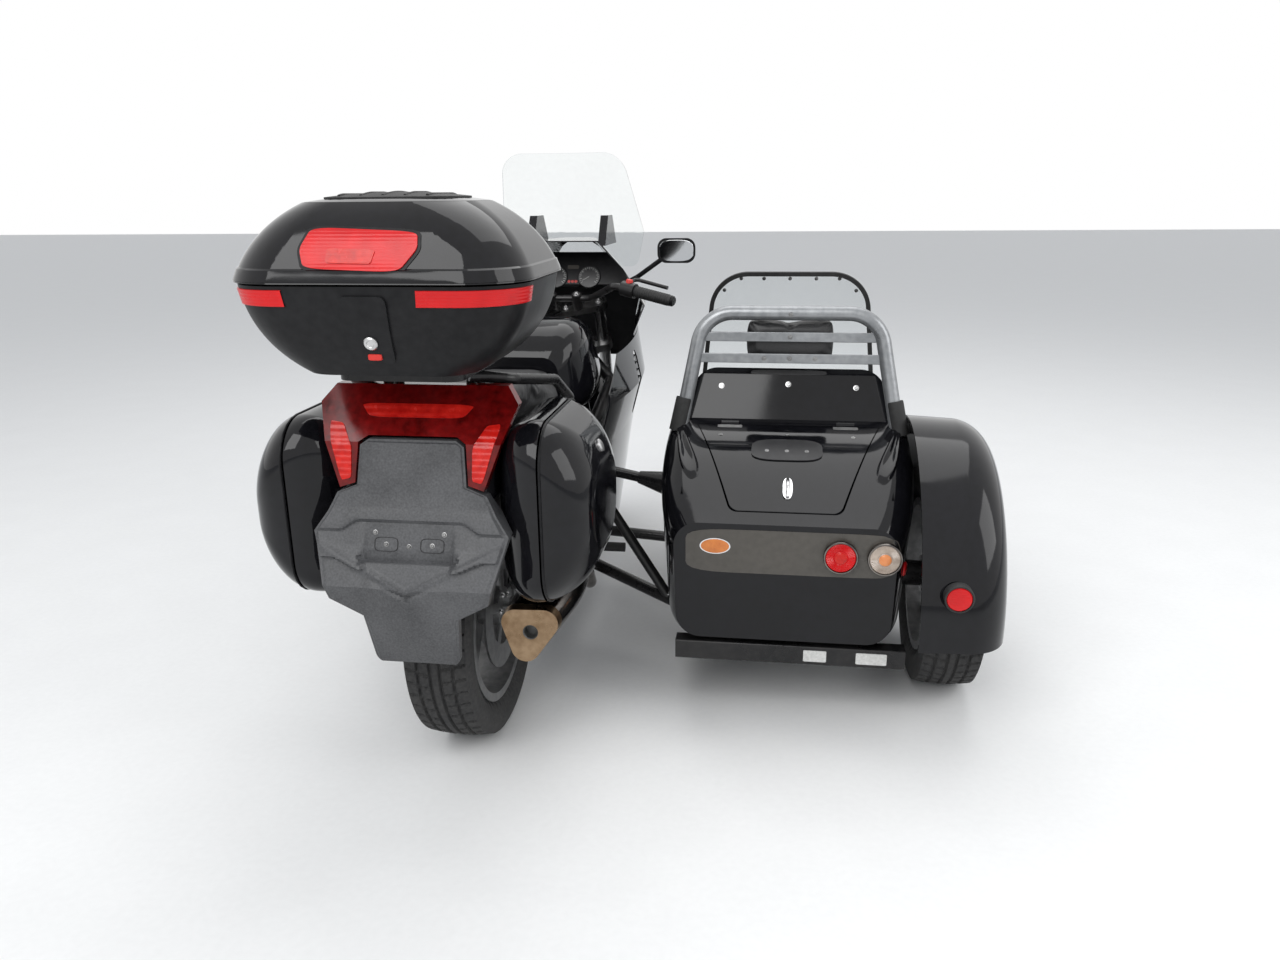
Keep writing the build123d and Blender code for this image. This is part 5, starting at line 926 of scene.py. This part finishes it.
# Screws on the bulkhead, the roll bar's cross bars and the sidecar screen
places = []
for x, z in ((-0.178, 0.776), (0.0, 0.782), (0.178, 0.776)):
    places.append(on_node("bulkhead", car(x, 0.30, z), BEHIND))
screws("bulkhead_screws", places, 0.005, 0.004, METAL, "chassis")
slot = rounded([(-0.102, 0.806), (0.102, 0.806), (0.098, 0.818), (-0.098, 0.818)], 0.3)
patch("bulkhead_slot", "bulkhead", slot, car_flat, BEHIND, 0.0006, DIAL, "chassis",
      gap=0.005)
places = []
for x, z in ((0.0, 0.972), (0.0, 0.913), (-0.066, 0.858), (0.0, 0.858), (0.066, 0.858)):
    places.append(on_node("roll_bar", car(x, 0.30, z), BEHIND))
screws("cross_bar_screws", places, 0.0045, 0.003, STEEL, "chassis")
SLEEVE = [(0.0192, -0.035), (0.0215, -0.035), (0.0215, 0.050), (0.0205, 0.055), (0.0192, 0.055),
          (0.0192, -0.035)]
mesh = bmesh.new()
for side in (-1, 1):
    turned(mesh, SLEEVE, car(side * 0.285, 0.4045, 0.700), (-side * 0.21, 0.17, 1), 28)
piece("roll_bar_sleeves", mesh, RUBBER, "chassis")
places = []
for step in range(9):
    turn = math.pi * (step + 0.5) / 9
    x = 0.262 * 0.93 * math.cos(turn)
    z = min(1.008, 0.82 + 0.30 * math.sin(turn))
    places.append(on_node("sidecar_screen", car(x, 0.9, z), BEHIND))
screws("arch_screws", places, 0.004, 0.003, STEEL, "chassis")

# Strut bolts
STRUT_RADIUS = 0.017
places = []
for x, y, z in ((0.440, 0.341, 0.200), (0.500, 0.313, 0.186), (0.490, 0.860, 0.183)):
    places.append((bike(x, y, z + STRUT_RADIUS), (0, 0, 1)))
screws("strut_bolts", places, 0.009, 0.008, METAL, "chassis")


# Padded pieces: swollen by a short cloth run, in place of the plain CAD solids
def settled(made, clear=True):
    """The object's mesh with its modifiers worked in."""
    depsgraph = bpy.context.evaluated_depsgraph_get()
    fresh = bpy.data.meshes.new_from_object(made.evaluated_get(depsgraph))
    if clear:
        made.modifiers.clear()
    return fresh


CLOTH_FRAMES = 20


def padded(name, node, body, shrink, cap, voxel, pressure):
    """A cushion in place of a plain solid: shrunk, blown up as cloth, and held within the cap."""
    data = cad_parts[node].data.copy()
    made = bpy.data.objects.new(name, data)
    bpy.context.collection.objects.link(made)
    weld = made.modifiers.new("weld", "WELD")
    weld.merge_threshold = 0.0005
    remesh = made.modifiers.new("remesh", "REMESH")
    remesh.mode = "VOXEL"
    remesh.voxel_size = voxel
    made.data = settled(made)
    for vertex, normal in zip(made.data.vertices, [v.normal.copy() for v in made.data.vertices]):
        vertex.co -= normal * shrink
    start = [v.co.copy() for v in made.data.vertices]
    cloth = made.modifiers.new("cloth", "CLOTH")
    cloth.settings.use_pressure = True
    cloth.settings.uniform_pressure_force = pressure
    cloth.settings.effector_weights.gravity = 0
    cloth.settings.quality = 4
    for number in range(1, CLOTH_FRAMES + 1):
        bpy.context.scene.frame_set(number)
    moved = [v.co.copy() for v in settled(made, False).vertices]
    made.modifiers.clear()
    bpy.context.scene.frame_set(1)
    for vertex, first, last in zip(made.data.vertices, start, moved):
        shift = last - first
        if shift.length > cap:
            shift *= cap / shift.length
        vertex.co = first + shift
    finer = made.modifiers.new("finer", "SUBSURF")
    finer.levels = 1
    made.data = settled(made)
    made.data.materials.clear()
    made.data.materials.append(SEAT)
    for face in made.data.polygons:
        face.use_smooth = True
    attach(made, body)
    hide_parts(node)


padded("saddle_pad", "saddle", "chassis", 0.006, 0.012, 0.006, 3.0)
padded("seat_cushion_pad", "seat_cushion", "chassis", 0.010, 0.026, 0.006, 4.0)
padded("seat_back_pad", "seat_back", "chassis", 0.008, 0.014, 0.006, 4.0)
padded("headrest_pad", "headrest", "chassis", 0.005, 0.010, 0.005, 4.0)

# Floor, lights and camera
FLOOR_HALF = 30
mesh = bmesh.new()
corners = ((-1, -1), (1, -1), (1, 1), (-1, 1))
mesh.faces.new([mesh.verts.new((x * FLOOR_HALF, y * FLOOR_HALF, 0)) for x, y in corners])
data = bpy.data.meshes.new("floor")
mesh.to_mesh(data)
mesh.free()
floor = bpy.data.objects.new("floor", data)
bpy.context.collection.objects.link(floor)
data.materials.append(material("pale_floor", (0.82, 0.82, 0.81), 0.7, spread=0.02, bump=0.05))

world = bpy.data.worlds.new("studio")
bpy.context.scene.world = world
world.use_nodes = True
nodes = world.node_tree.nodes
links = world.node_tree.links
nodes.clear()
output = nodes.new("ShaderNodeOutputWorld")
mix = nodes.new("ShaderNodeMixShader")
soft = nodes.new("ShaderNodeBackground")
soft.inputs["Color"].default_value = (0.92, 0.95, 1.0, 1)
soft.inputs["Strength"].default_value = 0.62
white = nodes.new("ShaderNodeBackground")
white.inputs["Color"].default_value = (1, 1, 1, 1)
white.inputs["Strength"].default_value = 1.0
path = nodes.new("ShaderNodeLightPath")
sum_one = nodes.new("ShaderNodeMath")
sum_one.operation = "ADD"
sum_one.use_clamp = True
sum_two = nodes.new("ShaderNodeMath")
sum_two.operation = "ADD"
sum_two.use_clamp = True
links.new(path.outputs["Is Camera Ray"], sum_one.inputs[0])
links.new(path.outputs["Is Glossy Ray"], sum_one.inputs[1])
links.new(sum_one.outputs[0], sum_two.inputs[0])
links.new(path.outputs["Is Transmission Ray"], sum_two.inputs[1])
links.new(sum_two.outputs[0], mix.inputs[0])
links.new(soft.outputs[0], mix.inputs[1])
links.new(white.outputs[0], mix.inputs[2])
links.new(mix.outputs[0], output.inputs["Surface"])


def lamp(name, place, target, size, power):
    data = bpy.data.lights.new(name, "AREA")
    data.shape = "SQUARE"
    data.size = size
    data.energy = power
    made = bpy.data.objects.new(name, data)
    bpy.context.collection.objects.link(made)
    made.location = place
    made.rotation_euler = (Vector(target) - Vector(place)).to_track_quat("-Z", "Y").to_euler()


lamp("key", (-1.5, -4.5, 4.2), (0, 0, 0.6), 3.5, 170)
lamp("fill", (4.5, -1.5, 3.0), (0, 0, 0.6), 3.0, 80)
lamp("top", (0.3, 1.5, 5.0), (0, 0, 0.6), 4.0, 90)

# Camera fitted to the photograph: focal length, width and horizon above the middle, in pixels
PHOTO_WIDTH = 1280
PHOTO_FOCAL = 961
PHOTO_HORIZON = 288
SENSOR = 36.0
HEAD = math.radians(8.4)
PITCH = math.atan(PHOTO_HORIZON / PHOTO_FOCAL)
ROLL = math.radians(-0.6)
forward = Vector((-math.sin(HEAD) * math.cos(PITCH), math.cos(HEAD) * math.cos(PITCH), -math.sin(PITCH)))
level_right = Vector((math.cos(HEAD), math.sin(HEAD), 0))
level_up = level_right.cross(forward)
right = level_right * math.cos(ROLL) + level_up * math.sin(ROLL)
up = level_up * math.cos(ROLL) - level_right * math.sin(ROLL)
eye = bpy.data.cameras.new("photo_camera")
eye.sensor_width = SENSOR
eye.lens = PHOTO_FOCAL / PHOTO_WIDTH * SENSOR
camera = bpy.data.objects.new("photo_camera", eye)
bpy.context.collection.objects.link(camera)
rotation = Matrix((right, up, -forward)).transposed()
camera.matrix_world = Matrix.Translation(bike(0.720, -2.100, 1.280)) @ rotation.to_4x4()
bpy.context.scene.camera = camera
bpy.context.scene.view_settings.view_transform = "Standard"
